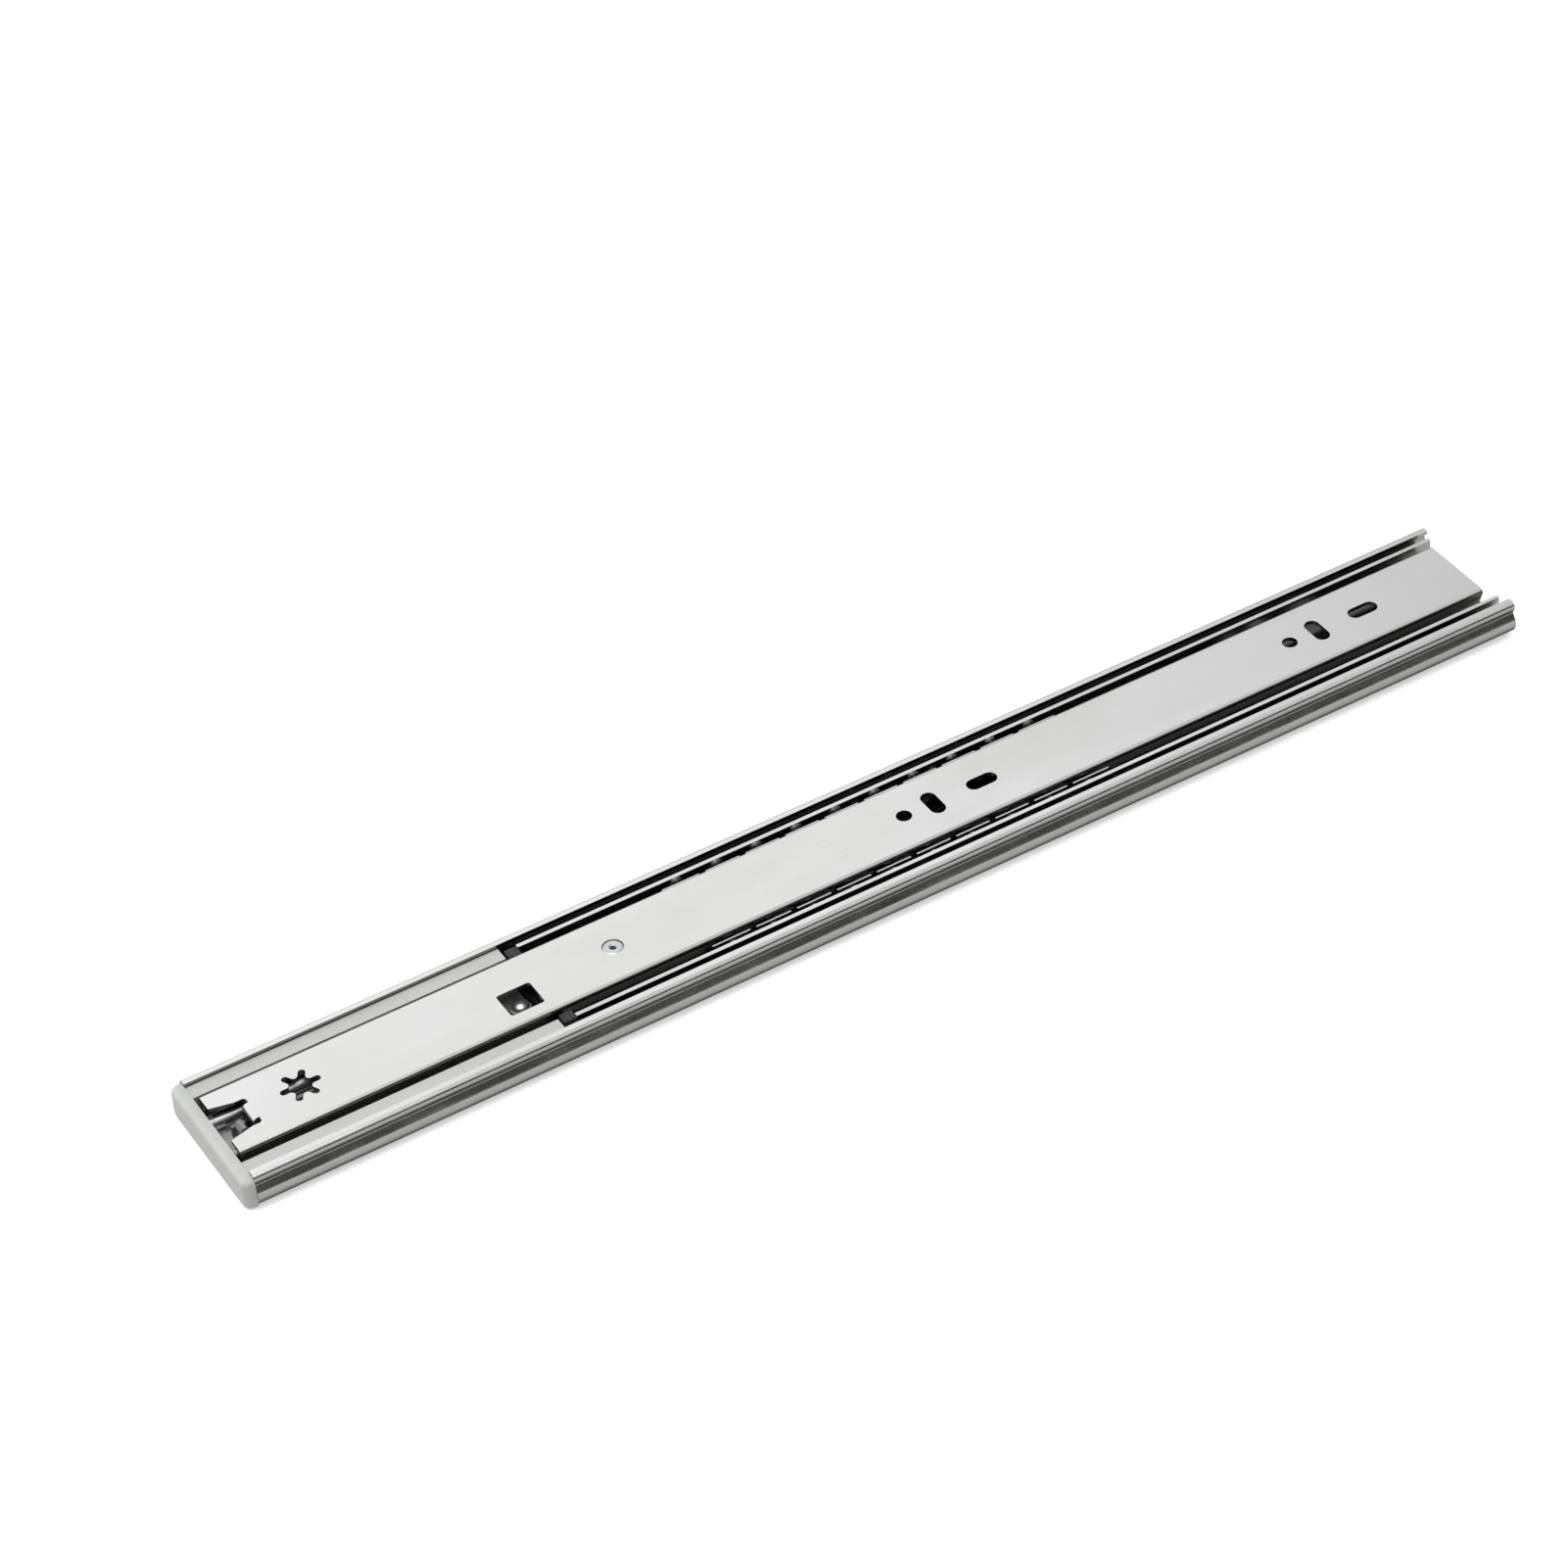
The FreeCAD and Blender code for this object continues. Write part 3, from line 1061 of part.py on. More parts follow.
def make_middle_bumper():
    """The black buffer across the rear end of the middle member, with a tongue on its web."""
    body = new_body("middle_bumper")
    section = new_sketch(body, "bumper_section", "YZ_Plane", f"{MIDDLE_REAR} - dims.bumper_overhang")
    reach = f"({INNER_BALL_HALF} + {INNER_RACE} + dims.middle_sheet)"
    inner = f"({DRAWER_HALF} + 0.9)"
    low, high = f"({MIDDLE_TOP} + 1.3)", "(dims.overall_thickness - dims.middle_edge_drop - 0.5)"
    half = [(f"{reach} - 1.5", MIDDLE_BASE), (reach, f"{MIDDLE_BASE} + 1.5"), (reach, high), (inner, high), (inner, low)]
    polygon(section, half + [(f"-({across})", up) for across, up in reversed(half)])
    pad(body, "buffer", section, "dims.bumper_overhang")
    tongue = new_sketch(body, "tongue_outline", "XY_Plane", MIDDLE_TOP)
    rectangle(tongue, f"{MIDDLE_REAR} - 0.5", "-5.5", f"{BUMPER_RIVET} + 4", "5.5")
    pad(body, "tongue", tongue, "1.3")
    hole = new_sketch(body, "tongue_hole_outline", "XY_Plane", f"{MIDDLE_TOP} + 1.3")
    circle(hole, BUMPER_RIVET, "0", "dims.rivet_radius")
    pocket(body, "tongue_hole", hole, "1.3")
    return body


def make_disconnect_lever():
    """The lever under the drawer member's web: a head on the rivet, an arm and a tooth at its tip."""
    body = new_body("disconnect_lever")
    top = f"({DRAWER_UNDERSIDE} - 0.3)"
    base = f"({top} - dims.lever_thickness)"
    arm = new_sketch(body, "lever_outline", "XY_Plane", base)
    belt(arm, [
        (LEVER_PIVOT, "0", "(dims.lever_width / 2 + 1.5)", 1),
        (f"{LEVER_TIP} - dims.lever_width / 2", "0", "dims.lever_width / 2", 1),
    ])
    pad(body, "lever_arm", arm, "dims.lever_thickness")
    tooth = new_sketch(body, "tooth_outline", "XY_Plane", f"{INNER_RETAINER_TOP} + 0.9")
    rounded_rectangle(tooth, f"{LEVER_TIP} - 4.5", "0.5", LEVER_TIP, "dims.lever_width / 2 + dims.lever_tooth", "0.6")
    pad(body, "tooth", tooth, f"{top} - {INNER_RETAINER_TOP} - 0.9")
    hole = new_sketch(body, "lever_hole_outline", "XY_Plane", top)
    circle(hole, LEVER_PIVOT, "0", "dims.rivet_radius + 0.05")
    pocket(body, "lever_hole", hole, "dims.lever_thickness")
    return body


# ---------------------------------------------------------------------------------------------------
# The whole slide


def make_outer_retainer():
    """The retainer between the cabinet member and the middle member."""
    return make_retainer(
        "outer_ball_retainer", OUTER_RETAINER_REAR, OUTER_RETAINER_LENGTH, OUTER_RETAINER_BASE,
        OUTER_BALL_HALF, OUTER_BALL_HEIGHT, "dims.outer_retainer_rise", "dims.outer_ball_radius",
        OUTER_BALL_FIRST, "dims.outer_ball_pitch", int(value("dims.outer_ball_count")),
    )


def make_inner_retainer():
    """The retainer between the middle member and the drawer member."""
    return make_retainer(
        "inner_ball_retainer", INNER_RETAINER_REAR, INNER_RETAINER_LENGTH, INNER_RETAINER_BASE,
        INNER_BALL_HALF, INNER_BALL_HEIGHT, "dims.inner_retainer_rise", "dims.inner_ball_radius",
        INNER_BALL_FIRST, "dims.inner_ball_pitch", int(value("dims.inner_ball_count")),
    )


def make_ball_rows():
    """The four rows of balls, one node each."""
    rows = []
    for side, sign in (("left", 1), ("right", -1)):
        rows.append(make_ball_row(
            f"outer_balls_{side}", sign, OUTER_BALL_HALF, OUTER_BALL_HEIGHT, "dims.outer_ball_radius",
            OUTER_BALL_FIRST, "dims.outer_ball_pitch", int(value("dims.outer_ball_count")),
        ))
        rows.append(make_ball_row(
            f"inner_balls_{side}", sign, INNER_BALL_HALF, INNER_BALL_HEIGHT, "dims.inner_ball_radius",
            INNER_BALL_FIRST, "dims.inner_ball_pitch", int(value("dims.inner_ball_count")),
        ))
    return rows


def check_document():
    """Stop if any object of the document failed to rebuild."""
    failed = [item.Label for item in doc.Objects if "Invalid" in item.State or "Error" in item.State]
    if failed:
        raise RuntimeError(f"objects that failed: {failed}")


def write_nodes(nodes):
    """Check each sub-part's shape and write it to its own file."""
    os.makedirs("parts", exist_ok=True)
    for node in nodes:
        shape = node.Shape
        if shape.isNull() or not shape.isValid():
            raise RuntimeError(f"{node.Label} has no valid shape")
        shape.exportStep(f"parts/{node.Label}.step")
        box = shape.BoundBox
        print(f"{node.Label:22s} solids {len(shape.Solids):2d}  volume {shape.Volume:10.1f}"
              f"  x {box.XMin:8.2f} {box.XMax:8.2f}  y {box.YMin:7.2f} {box.YMax:7.2f}"
              f"  z {box.ZMin:6.2f} {box.ZMax:6.2f}")


def main():
    """Build every sub-part, check the document and write the files."""
    nodes = [
        make_outer_member(),
        make_rear_housing(),
        make_front_housing(),
        make_front_housing_rivet(),
        make_rear_housing_rivets(),
        make_damper_cylinder(),
        make_damper_end_cap(),
        make_closing_spring(),
        make_catch_carriage(),
        make_damper_piston(),
        make_damper_rod(),
        make_catch_pin(),
        make_tilting_catch(),
        make_outer_retainer(),
        make_middle_member(),
        make_middle_bumper(),
        make_bumper_rivet(),
        make_inner_retainer(),
        make_drawer_member(),
        make_lever_rivet(),
        make_disconnect_lever(),
    ]
    nodes += make_ball_rows()
    doc.recompute()
    check_document()
    write_nodes(nodes)


main()
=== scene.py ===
"""Looks for a soft-close ball-bearing drawer slide, laid on a pale floor with its drawer face up."""

import json
import logging
import math
from dataclasses import dataclass, field
from enum import Enum
from typing import Iterable, Sequence

import bmesh
import bpy
from mathutils import Matrix, Vector

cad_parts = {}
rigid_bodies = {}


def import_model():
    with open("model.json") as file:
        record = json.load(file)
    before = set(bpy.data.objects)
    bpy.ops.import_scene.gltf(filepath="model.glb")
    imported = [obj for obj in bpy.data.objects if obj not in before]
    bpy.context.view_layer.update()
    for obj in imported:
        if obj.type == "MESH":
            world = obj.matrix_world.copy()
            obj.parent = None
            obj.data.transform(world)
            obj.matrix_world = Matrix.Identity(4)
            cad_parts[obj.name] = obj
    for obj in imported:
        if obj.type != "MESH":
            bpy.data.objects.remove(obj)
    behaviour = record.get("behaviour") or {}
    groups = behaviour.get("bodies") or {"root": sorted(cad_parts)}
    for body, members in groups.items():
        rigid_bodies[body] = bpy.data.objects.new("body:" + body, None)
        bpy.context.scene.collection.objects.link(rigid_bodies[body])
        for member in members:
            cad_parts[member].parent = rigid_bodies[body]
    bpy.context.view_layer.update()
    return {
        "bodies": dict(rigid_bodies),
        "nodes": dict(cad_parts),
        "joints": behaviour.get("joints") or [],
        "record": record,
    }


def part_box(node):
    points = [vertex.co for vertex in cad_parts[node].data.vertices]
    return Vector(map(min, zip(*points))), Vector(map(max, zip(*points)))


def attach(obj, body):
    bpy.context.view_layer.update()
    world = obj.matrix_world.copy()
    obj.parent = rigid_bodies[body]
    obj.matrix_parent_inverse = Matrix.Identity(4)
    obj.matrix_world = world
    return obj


LOG = logging.getLogger("drawer_slide")
MM = 0.001
EVEN = (1.0, 1.0, 1.0)
RIB_SINK = 0.1 * MM


# ---------------------------------------------------------------------------------------------------
# Finishes


class Along(Enum):
    """The way the rolling marks of a steel sheet run."""

    LENGTH = (0.02, 1.0, 1.0)


class NodeBoard:
    """A small helper that lays out shader nodes on one node tree."""

    def __init__(self, tree: bpy.types.NodeTree) -> None:
        """Start with an empty tree.

        Args:
            tree: the tree that the nodes go on.
        """
        self.tree = tree
        tree.nodes.clear()

    def add(self, kind: str, **settings: object) -> bpy.types.Node:
        """Add a node and set its plain properties.

        Args:
            kind: the node's type name.
            settings: attribute names and their values.

        Returns:
            The new node.
        """
        node = self.tree.nodes.new(kind)
        for name, setting in settings.items():
            setattr(node, name, setting)
        return node

    def link(self, source: bpy.types.NodeSocket, target: bpy.types.NodeSocket) -> None:
        """Join two sockets.

        Args:
            source: the output socket.
            target: the input socket.
        """
        self.tree.links.new(source, target)

    def toward(self, direction: Vector) -> bpy.types.NodeSocket:
        """How nearly a line of sight in a world tree points along a direction.

        Args:
            direction: the direction.

        Returns:
            The value socket, from -1 to 1.
        """
        node = self.add("ShaderNodeVectorMath", operation="DOT_PRODUCT")
        node.inputs[1].default_value = direction.normalized()
        self.link(self.add("ShaderNodeTexCoord").outputs["Generated"], node.inputs[0])
        return node.outputs["Value"]

    def join(self, operation: str, one: bpy.types.NodeSocket,
             other: bpy.types.NodeSocket | float) -> bpy.types.NodeSocket:
        """Two values put through a sum.

        Args:
            operation: the kind of sum.
            one: the first value.
            other: the second value, a socket or a number.

        Returns:
            The value socket.
        """
        node = self.add("ShaderNodeMath", operation=operation)
        self.link(one, node.inputs[0])
        if isinstance(other, bpy.types.NodeSocket):
            self.link(other, node.inputs[1])
        else:
            node.inputs[1].default_value = other
        return node.outputs["Value"]

    def place(self, stretch: Sequence[float]) -> bpy.types.NodeSocket:
        """Object coordinates stretched along the axes.

        Args:
            stretch: the scale on each axis.

        Returns:
            The vector socket of the stretched coordinates.
        """
        coordinates = self.add("ShaderNodeTexCoord")
        mapping = self.add("ShaderNodeMapping")
        mapping.inputs["Scale"].default_value = tuple(stretch)
        self.link(coordinates.outputs["Object"], mapping.inputs["Vector"])
        return mapping.outputs["Vector"]

    def noise(self, place: bpy.types.NodeSocket, scale: float, detail: float = 3.0) -> bpy.types.NodeSocket:
        """A noise value over a place.

        Args:
            place: the vector socket that it reads.
            scale: features per metre.
            detail: octaves.

        Returns:
            The value socket.
        """
        noise = self.add("ShaderNodeTexNoise")
        noise.inputs["Scale"].default_value = scale
        noise.inputs["Detail"].default_value = detail
        self.link(place, noise.inputs["Vector"])
        return noise.outputs["Fac"]

    def span(self, value: bpy.types.NodeSocket, low: float, high: float, start: float = 0.3,
             end: float = 0.7) -> bpy.types.NodeSocket:
        """A value moved from one range to another.

        Args:
            value: the socket that is read.
            low: the result at start.
            high: the result at end.
            start: the reading that gives low.
            end: the reading that gives high.

        Returns:
            The value socket.
        """
        node = self.add("ShaderNodeMapRange")
        node.inputs["From Min"].default_value = start
        node.inputs["From Max"].default_value = end
        node.inputs["To Min"].default_value = low
        node.inputs["To Max"].default_value = high
        self.link(value, node.inputs["Value"])
        return node.outputs["Result"]

    def ramp(self, value: bpy.types.NodeSocket,
             stops: Iterable[tuple[float, Sequence[float]]]) -> bpy.types.NodeSocket:
        """A colour for a value.

        Args:
            value: the socket that is read.
            stops: places from 0 to 1 with their colours.

        Returns:
            The colour socket.
        """
        node = self.add("ShaderNodeValToRGB")
        stops = list(stops)
        elements = node.color_ramp.elements
        elements[0].position, elements[0].color = stops[0][0], (*stops[0][1], 1.0)
        elements[1].position, elements[1].color = stops[-1][0], (*stops[-1][1], 1.0)
        for position, colour in stops[1:-1]:
            elements.new(position).color = (*colour, 1.0)
        self.link(value, node.inputs["Fac"])
        return node.outputs["Color"]

    def facing_shade_mask(self, low: float, high: float) -> bpy.types.NodeSocket:
        """How far a surface faces up, the mask that lays painted shade on sides and undersides.

        Args:
            low: the upright part of the normal that gives 0.
            high: the upright part of the normal that gives 1.

        Returns:
            The value socket.
        """
        parts = self.add("ShaderNodeSeparateXYZ")
        self.link(self.add("ShaderNodeNewGeometry").outputs["Normal"], parts.inputs["Vector"])
        return self.span(parts.outputs["Z"], 0.0, 1.0, low, high)

    def mix(self, share: bpy.types.NodeSocket, colour: Sequence[float] | bpy.types.NodeSocket,
            other: Sequence[float] | bpy.types.NodeSocket) -> bpy.types.NodeSocket:
        """A blend from one colour to another, each a socket or plain numbers.

        Args:
            share: 0 for the first colour, 1 for the other.
            colour: the first colour.
            other: the other colour.

        Returns:
            The colour socket.
        """
        node = self.add("ShaderNodeMix", data_type="RGBA")
        self.link(share, node.inputs["Factor"])
        ends = [socket for socket in node.inputs if socket.type == "RGBA"]
        for end, chosen in zip(ends, (colour, other)):
            if isinstance(chosen, bpy.types.NodeSocket):
                self.link(chosen, end)
            else:
                end.default_value = (*chosen, 1.0)
        return next(socket for socket in node.outputs if socket.type == "RGBA")

    def bump(self, height: bpy.types.NodeSocket, strength: float, distance: float,
             below: bpy.types.NodeSocket | None = None) -> bpy.types.NodeSocket:
        """A bump over another one.

        Args:
            height: the height socket.
            strength: from 0 to 1.
            distance: depth in metres.
            below: the normal that it is laid on.

        Returns:
            The normal socket.
        """
        node = self.add("ShaderNodeBump")
        node.inputs["Strength"].default_value = strength
        node.inputs["Distance"].default_value = distance
        self.link(height, node.inputs["Height"])
        if below is not None:
            self.link(below, node.inputs["Normal"])
        return node.outputs["Normal"]


class SurfaceBoard(NodeBoard):
    """A node board for a material, with its output and a Principled shader in place."""

    def __init__(self, name: str) -> None:
        """Start the material.

        Args:
            name: the finish's name.
        """
        self.material = bpy.data.materials.new(name)
        self.material.use_nodes = True
        super().__init__(self.material.node_tree)
        self.shader = self.add("ShaderNodeBsdfPrincipled")
        output = self.add("ShaderNodeOutputMaterial")
        self.link(self.shader.outputs["BSDF"], output.inputs["Surface"])


@dataclass(frozen=True)
class ZincSteel:
    """Bright zinc plate over cold-rolled sheet, with faint rolling marks and a cloudy passivation; its
    sides and undersides carry painted shade.
    """

    name: str
    light: tuple[float, float, float] = (0.88, 0.885, 0.88)
    dark: tuple[float, float, float] = (0.80, 0.81, 0.79)
    # painted shade: the colour given to sideways-facing surfaces, then the darker one given to undersides
    painted_side_shade: tuple[float, float, float] = (0.27, 0.275, 0.26)
    under: tuple[float, float, float] = (0.06, 0.06, 0.055)
    roughness: float = 0.22
    spread: float = 0.07
    marks: float = 0.2
    along: Along = Along.LENGTH

    def build(self) -> bpy.types.Material:
        """Make the finish.

        Returns:
            The material.
        """
        board = SurfaceBoard(self.name)
        shader = board.shader
        shader.inputs["Metallic"].default_value = 1.0
        shader.inputs["Specular Tint"].default_value = (0.35, 0.35, 0.35, 1.0)
        cloud = board.noise(board.place((0.35, 1.0, 1.0)), 28.0, 4.0)
        face = board.ramp(cloud, [(0.32, self.dark), (0.62, self.light)])
        # Painted shade: surfaces facing sideways take the darker side colour and surfaces facing down the
        # darkest one.
        painted_wall_shade = board.mix(board.facing_shade_mask(-0.6, 0.0), self.under, self.painted_side_shade)
        board.link(board.mix(board.facing_shade_mask(0.3, 0.7), painted_wall_shade, face), shader.inputs["Base Color"])
        grain = board.noise(board.place(self.along.value), 2600.0, 2.0)
        patch = board.noise(board.place(EVEN), 90.0, 3.0)
        half = self.spread / 2
        fine = board.span(grain, -half, half)
        broad = board.span(patch, self.roughness - half, self.roughness + half)
        board.link(board.join("ADD", fine, broad), shader.inputs["Roughness"])
        sheet_wave = board.noise(board.place((0.25, 1.0, 1.0)), 60.0, 1.0)
        waved = board.bump(sheet_wave, 0.12, 0.0004)
        board.link(board.bump(grain, self.marks, 0.00002, waved), shader.inputs["Normal"])
        return board.material


@dataclass(frozen=True)
class TurnedSteel:
    """Plain bright steel of rivets, pins, balls and wire."""

    name: str
    colour: tuple[float, float, float] = (0.74, 0.75, 0.76)
    roughness: float = 0.16

    def build(self) -> bpy.types.Material:
        """Make the finish.

        Returns:
            The material.
        """
        board = SurfaceBoard(self.name)
        shader = board.shader
        shader.inputs["Metallic"].default_value = 1.0
        grey = tuple(0.86 * channel for channel in self.colour)
        speck = board.noise(board.place(EVEN), 700.0, 3.0)
        board.link(board.ramp(speck, [(0.35, grey), (0.6, self.colour)]), shader.inputs["Base Color"])
        rough = board.span(speck, self.roughness - 0.04, self.roughness + 0.08)
        board.link(rough, shader.inputs["Roughness"])
        board.link(board.bump(speck, 0.1, 0.00003), shader.inputs["Normal"])
        return board.material


@dataclass(frozen=True)
class MouldedPlastic:
    """Injection-moulded plastic with a fine spark-eroded grain and slight flow clouds; its sides and
    undersides carry painted shade.
    """

    name: str
    colour: tuple[float, float, float]
    # painted shade: the colour given to surfaces that don't face up
    painted_side_shade: tuple[float, float, float]
    shade: float = 0.93
    roughness: float = 0.42
    grain: float = 0.2

    def build(self) -> bpy.types.Material:
        """Make the finish.

        Returns:
            The material.
        """
        board = SurfaceBoard(self.name)
        shader = board.shader
        shader.inputs["IOR"].default_value = 1.5
        flow = board.noise(board.place((0.4, 1.0, 1.0)), 70.0, 3.0)
        shaded = tuple(self.shade * channel for channel in self.colour)
        face = board.ramp(flow, [(0.35, shaded), (0.65, self.colour)])
        # Painted shade: surfaces that don't face up take the darker side colour.
        board.link(board.mix(board.facing_shade_mask(0.0, 0.7), self.painted_side_shade, face), shader.inputs["Base Color"])
        speckle = board.noise(board.place(EVEN), 3200.0, 2.0)
        rough = board.span(speckle, self.roughness - 0.05, self.roughness + 0.07)
        board.link(rough, shader.inputs["Roughness"])
        waved = board.bump(flow, 0.08, 0.0003)
        board.link(board.bump(speckle, self.grain, 0.00003, waved), shader.inputs["Normal"])
        return board.material


class Finish(Enum):
    """Every finish on the slide."""

    DRAWER_STEEL = ZincSteel("drawer_zinc_steel")
    MIDDLE_STEEL = ZincSteel("middle_zinc_steel", dark=(0.70, 0.72, 0.71))
    CABINET_STEEL = ZincSteel("cabinet_zinc_steel")
    RETAINER_STEEL = ZincSteel(
        "retainer_zinc_steel", light=(0.78, 0.79, 0.80), dark=(0.70, 0.71, 0.72), marks=0.1)
    BALL_STEEL = TurnedSteel("ball_steel", (0.82, 0.83, 0.85), 0.06)
    RIVET_STEEL = TurnedSteel("rivet_steel")
    WIRE_STEEL = TurnedSteel("spring_wire_steel", (0.60, 0.61, 0.63), 0.22)
    TUBE_ALUMINIUM = TurnedSteel("damper_tube_aluminium", (0.72, 0.73, 0.75), 0.3)
    # Each plastic's second colour is its painted shade for sides and undersides.
    GREY_PLASTIC = MouldedPlastic("light_grey_plastic", (0.60, 0.61, 0.59), (0.30, 0.305, 0.29))
    CARRIAGE_PLASTIC = MouldedPlastic("carriage_grey_plastic", (0.30, 0.31, 0.31), (0.10, 0.10, 0.10))
    BLACK_PLASTIC = MouldedPlastic(
        "black_plastic", (0.012, 0.012, 0.013), (0.010, 0.010, 0.010), roughness=0.38)

    def material(self) -> bpy.types.Material:
        """The finish's material, made the first time it is asked for.

        Returns:
            The material.
        """
        made = bpy.data.materials.get(self.value.name)
        return made if made is not None else self.value.build()


def dress(piece: bpy.types.Object, finish: Finish) -> None:
    """Give a piece or a CAD node one finish.

    Args:
        piece: the object.
        finish: the finish.
    """
    material = finish.material()
    if not piece.material_slots:
        piece.data.materials.append(material)
    for slot in piece.material_slots:
        slot.link = "OBJECT"
        slot.material = material


# ---------------------------------------------------------------------------------------------------
# Small pieces


def finished(name: str, shape: bmesh.types.BMesh, body: str, finish: Finish) -> bpy.types.Object:
    """Turn a shape into a piece that rides on a body.

    Args:
        name: the piece's name.
        shape: its shape in the row frame.
        body: the CAD body that it moves with.
        finish: its finish.

    Returns:
        The piece.
    """
    mesh = bpy.data.meshes.new(name)
    bmesh.ops.recalc_face_normals(shape, faces=shape.faces)
    for face in shape.faces:
        face.smooth = len(face.verts) == 4 and len(shape.faces) > 40
    shape.to_mesh(mesh)
    shape.free()
    piece = bpy.data.objects.new(name, mesh)
    bpy.context.scene.collection.objects.link(piece)
    dress(piece, finish)
    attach(piece, body)
    return piece


def ring(centre: Vector, radius: float, wire: float, axis: str) -> bmesh.types.BMesh:
    """A round ring.

    Args:
        centre: its centre.
        radius: from the centre to the middle of the wire.
        wire: half the wire's thickness.
        axis: "X" or "Z", the ring's own axis.

    Returns:
        The shape.
    """
    shape = bmesh.new()
    section = bmesh.ops.create_circle(shape, segments=12, radius=wire)["verts"]
    bmesh.ops.rotate(shape, verts=section, matrix=Matrix.Rotation(math.pi / 2, 3, "X"))
    bmesh.ops.translate(shape, verts=section, vec=(radius, 0.0, 0.0))
    whole = shape.verts[:] + shape.edges[:]
    bmesh.ops.spin(shape, geom=whole, axis=(0.0, 0.0, 1.0), angle=2 * math.pi, steps=40)
    bmesh.ops.remove_doubles(shape, verts=shape.verts, dist=1e-7)
    if axis == "X":
        bmesh.ops.rotate(shape, verts=shape.verts, matrix=Matrix.Rotation(math.pi / 2, 3, "Y"))
    bmesh.ops.translate(shape, verts=shape.verts, vec=centre)
    return shape


def bar(low: Vector, high: Vector, bevel: float) -> bmesh.types.BMesh:
    """A bar with softened edges.

    Args:
        low: its lowest corner.
        high: its highest corner.
        bevel: the width of its edges' bevel.

    Returns:
        The shape.
    """
    shape = bmesh.new()
    bmesh.ops.create_cube(shape, size=1.0)
    bmesh.ops.scale(shape, verts=shape.verts, vec=high - low)
    bmesh.ops.translate(shape, verts=shape.verts, vec=(low + high) / 2)
    bmesh.ops.bevel(shape, geom=shape.edges[:], offset=bevel, segments=2, affect="EDGES")
    return shape


def rib(x: float, half_width: float, ends: tuple[float, float], face: float, height: float,
        bevel: float) -> bmesh.types.BMesh:
    """A bar that lies across the slide, its foot sunk a little in the face it stands on.

    Args:
        x: the place of its middle along the slide.
        half_width: half its width along the slide.
        ends: where it starts and stops across the slide.
        face: the height of the face it stands on.
        height: how far it stands out.
        bevel: the width of its edges' bevel.

    Returns:
        The shape.
    """
    return bar(Vector((x - half_width, ends[0], face - RIB_SINK)),
               Vector((x + half_width, ends[1], face + height)), bevel)


def dimple(centre: Vector, radius: float, height: float) -> bmesh.types.BMesh:
    """A shallow round boss, half sunk in its sheet.

    Args:
        centre: its centre, on the sheet's face.
        radius: its radius.
        height: how far it stands out.

    Returns:
        The shape.
    """
    shape = bmesh.new()
    bmesh.ops.create_uvsphere(shape, u_segments=24, v_segments=12, radius=radius)
    bmesh.ops.scale(shape, verts=shape.verts, vec=(1.0, 1.0, height / radius))
    bmesh.ops.translate(shape, verts=shape.verts, vec=centre)
    return shape


def corners(box: Sequence[Sequence[float]]) -> tuple[Vector, Vector]:
    """The two corners of a box as vectors.

    Args:
        box: the lowest corner and the highest corner.

    Returns:
        The same two corners.
    """
    return Vector(box[0]), Vector(box[1])


def middle_of(node: str) -> Vector:
    """The centre of a CAD node's box.

    Args:
        node: the node's name.

    Returns:
        The centre.
    """
    low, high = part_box(node)
    return (Vector(low) + Vector(high)) / 2


# ---------------------------------------------------------------------------------------------------
# Sub-assemblies


@dataclass
class SubAssembly:
    """A group of CAD nodes, each with its finish, and the pieces that are added to it."""

    frame: dict
    finishes: dict[str, Finish] = field(default_factory=dict)

    def build(self) -> list[bpy.types.Object]:
        """Make the pieces that the CAD nodes don't have.

        Returns:
            The new pieces.
        """
        return []

    def dress_nodes(self) -> None:
        """Give each CAD node its finish."""
        for node, finish in self.finishes.items():
            dress(self.frame["nodes"][node], finish)
            LOG.info("dressed %s in %s", node, finish.name)


@dataclass
class CabinetSide(SubAssembly):
    """The cabinet member with its ball retainer."""

    finishes: dict[str, Finish] = field(default_factory=lambda: {
        "outer_member": Finish.CABINET_STEEL,
        "outer_ball_retainer": Finish.RETAINER_STEEL,
        "outer_balls_left": Finish.BALL_STEEL,
        "outer_balls_right": Finish.BALL_STEEL,
    })
    retainer_sheet: float = 0.5 * MM
    cabinet_sheet: float = 1.2 * MM

    def build(self) -> list[bpy.types.Object]:
        """Stiffening beads on the retainer's web and stop bosses at the front of the cabinet member.

        Returns:
            The new pieces.
        """
        low, high = corners(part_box("outer_ball_retainer"))
        web = low.z + self.retainer_sheet
        made = []
        for number, x in enumerate((low.x + 3 * MM, (low.x + high.x) / 2, high.x - 3 * MM), start=1):
            shape = rib(x, 1.2 * MM, (-8 * MM, 8 * MM), web, 0.15 * MM, 0.1 * MM)
            name = f"outer_retainer_bead_{number}"
            made.append(finished(name, shape, "outer_retainer", Finish.RETAINER_STEEL))
        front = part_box("outer_member")[1][0]
        for side, y in (("left", 9 * MM), ("right", -9 * MM)):
            shape = dimple(Vector((front - 5 * MM, y, self.cabinet_sheet)), 1.4 * MM, 0.25 * MM)
            made.append(finished(f"stop_boss_{side}", shape, "outer", Finish.CABINET_STEEL))
        return made


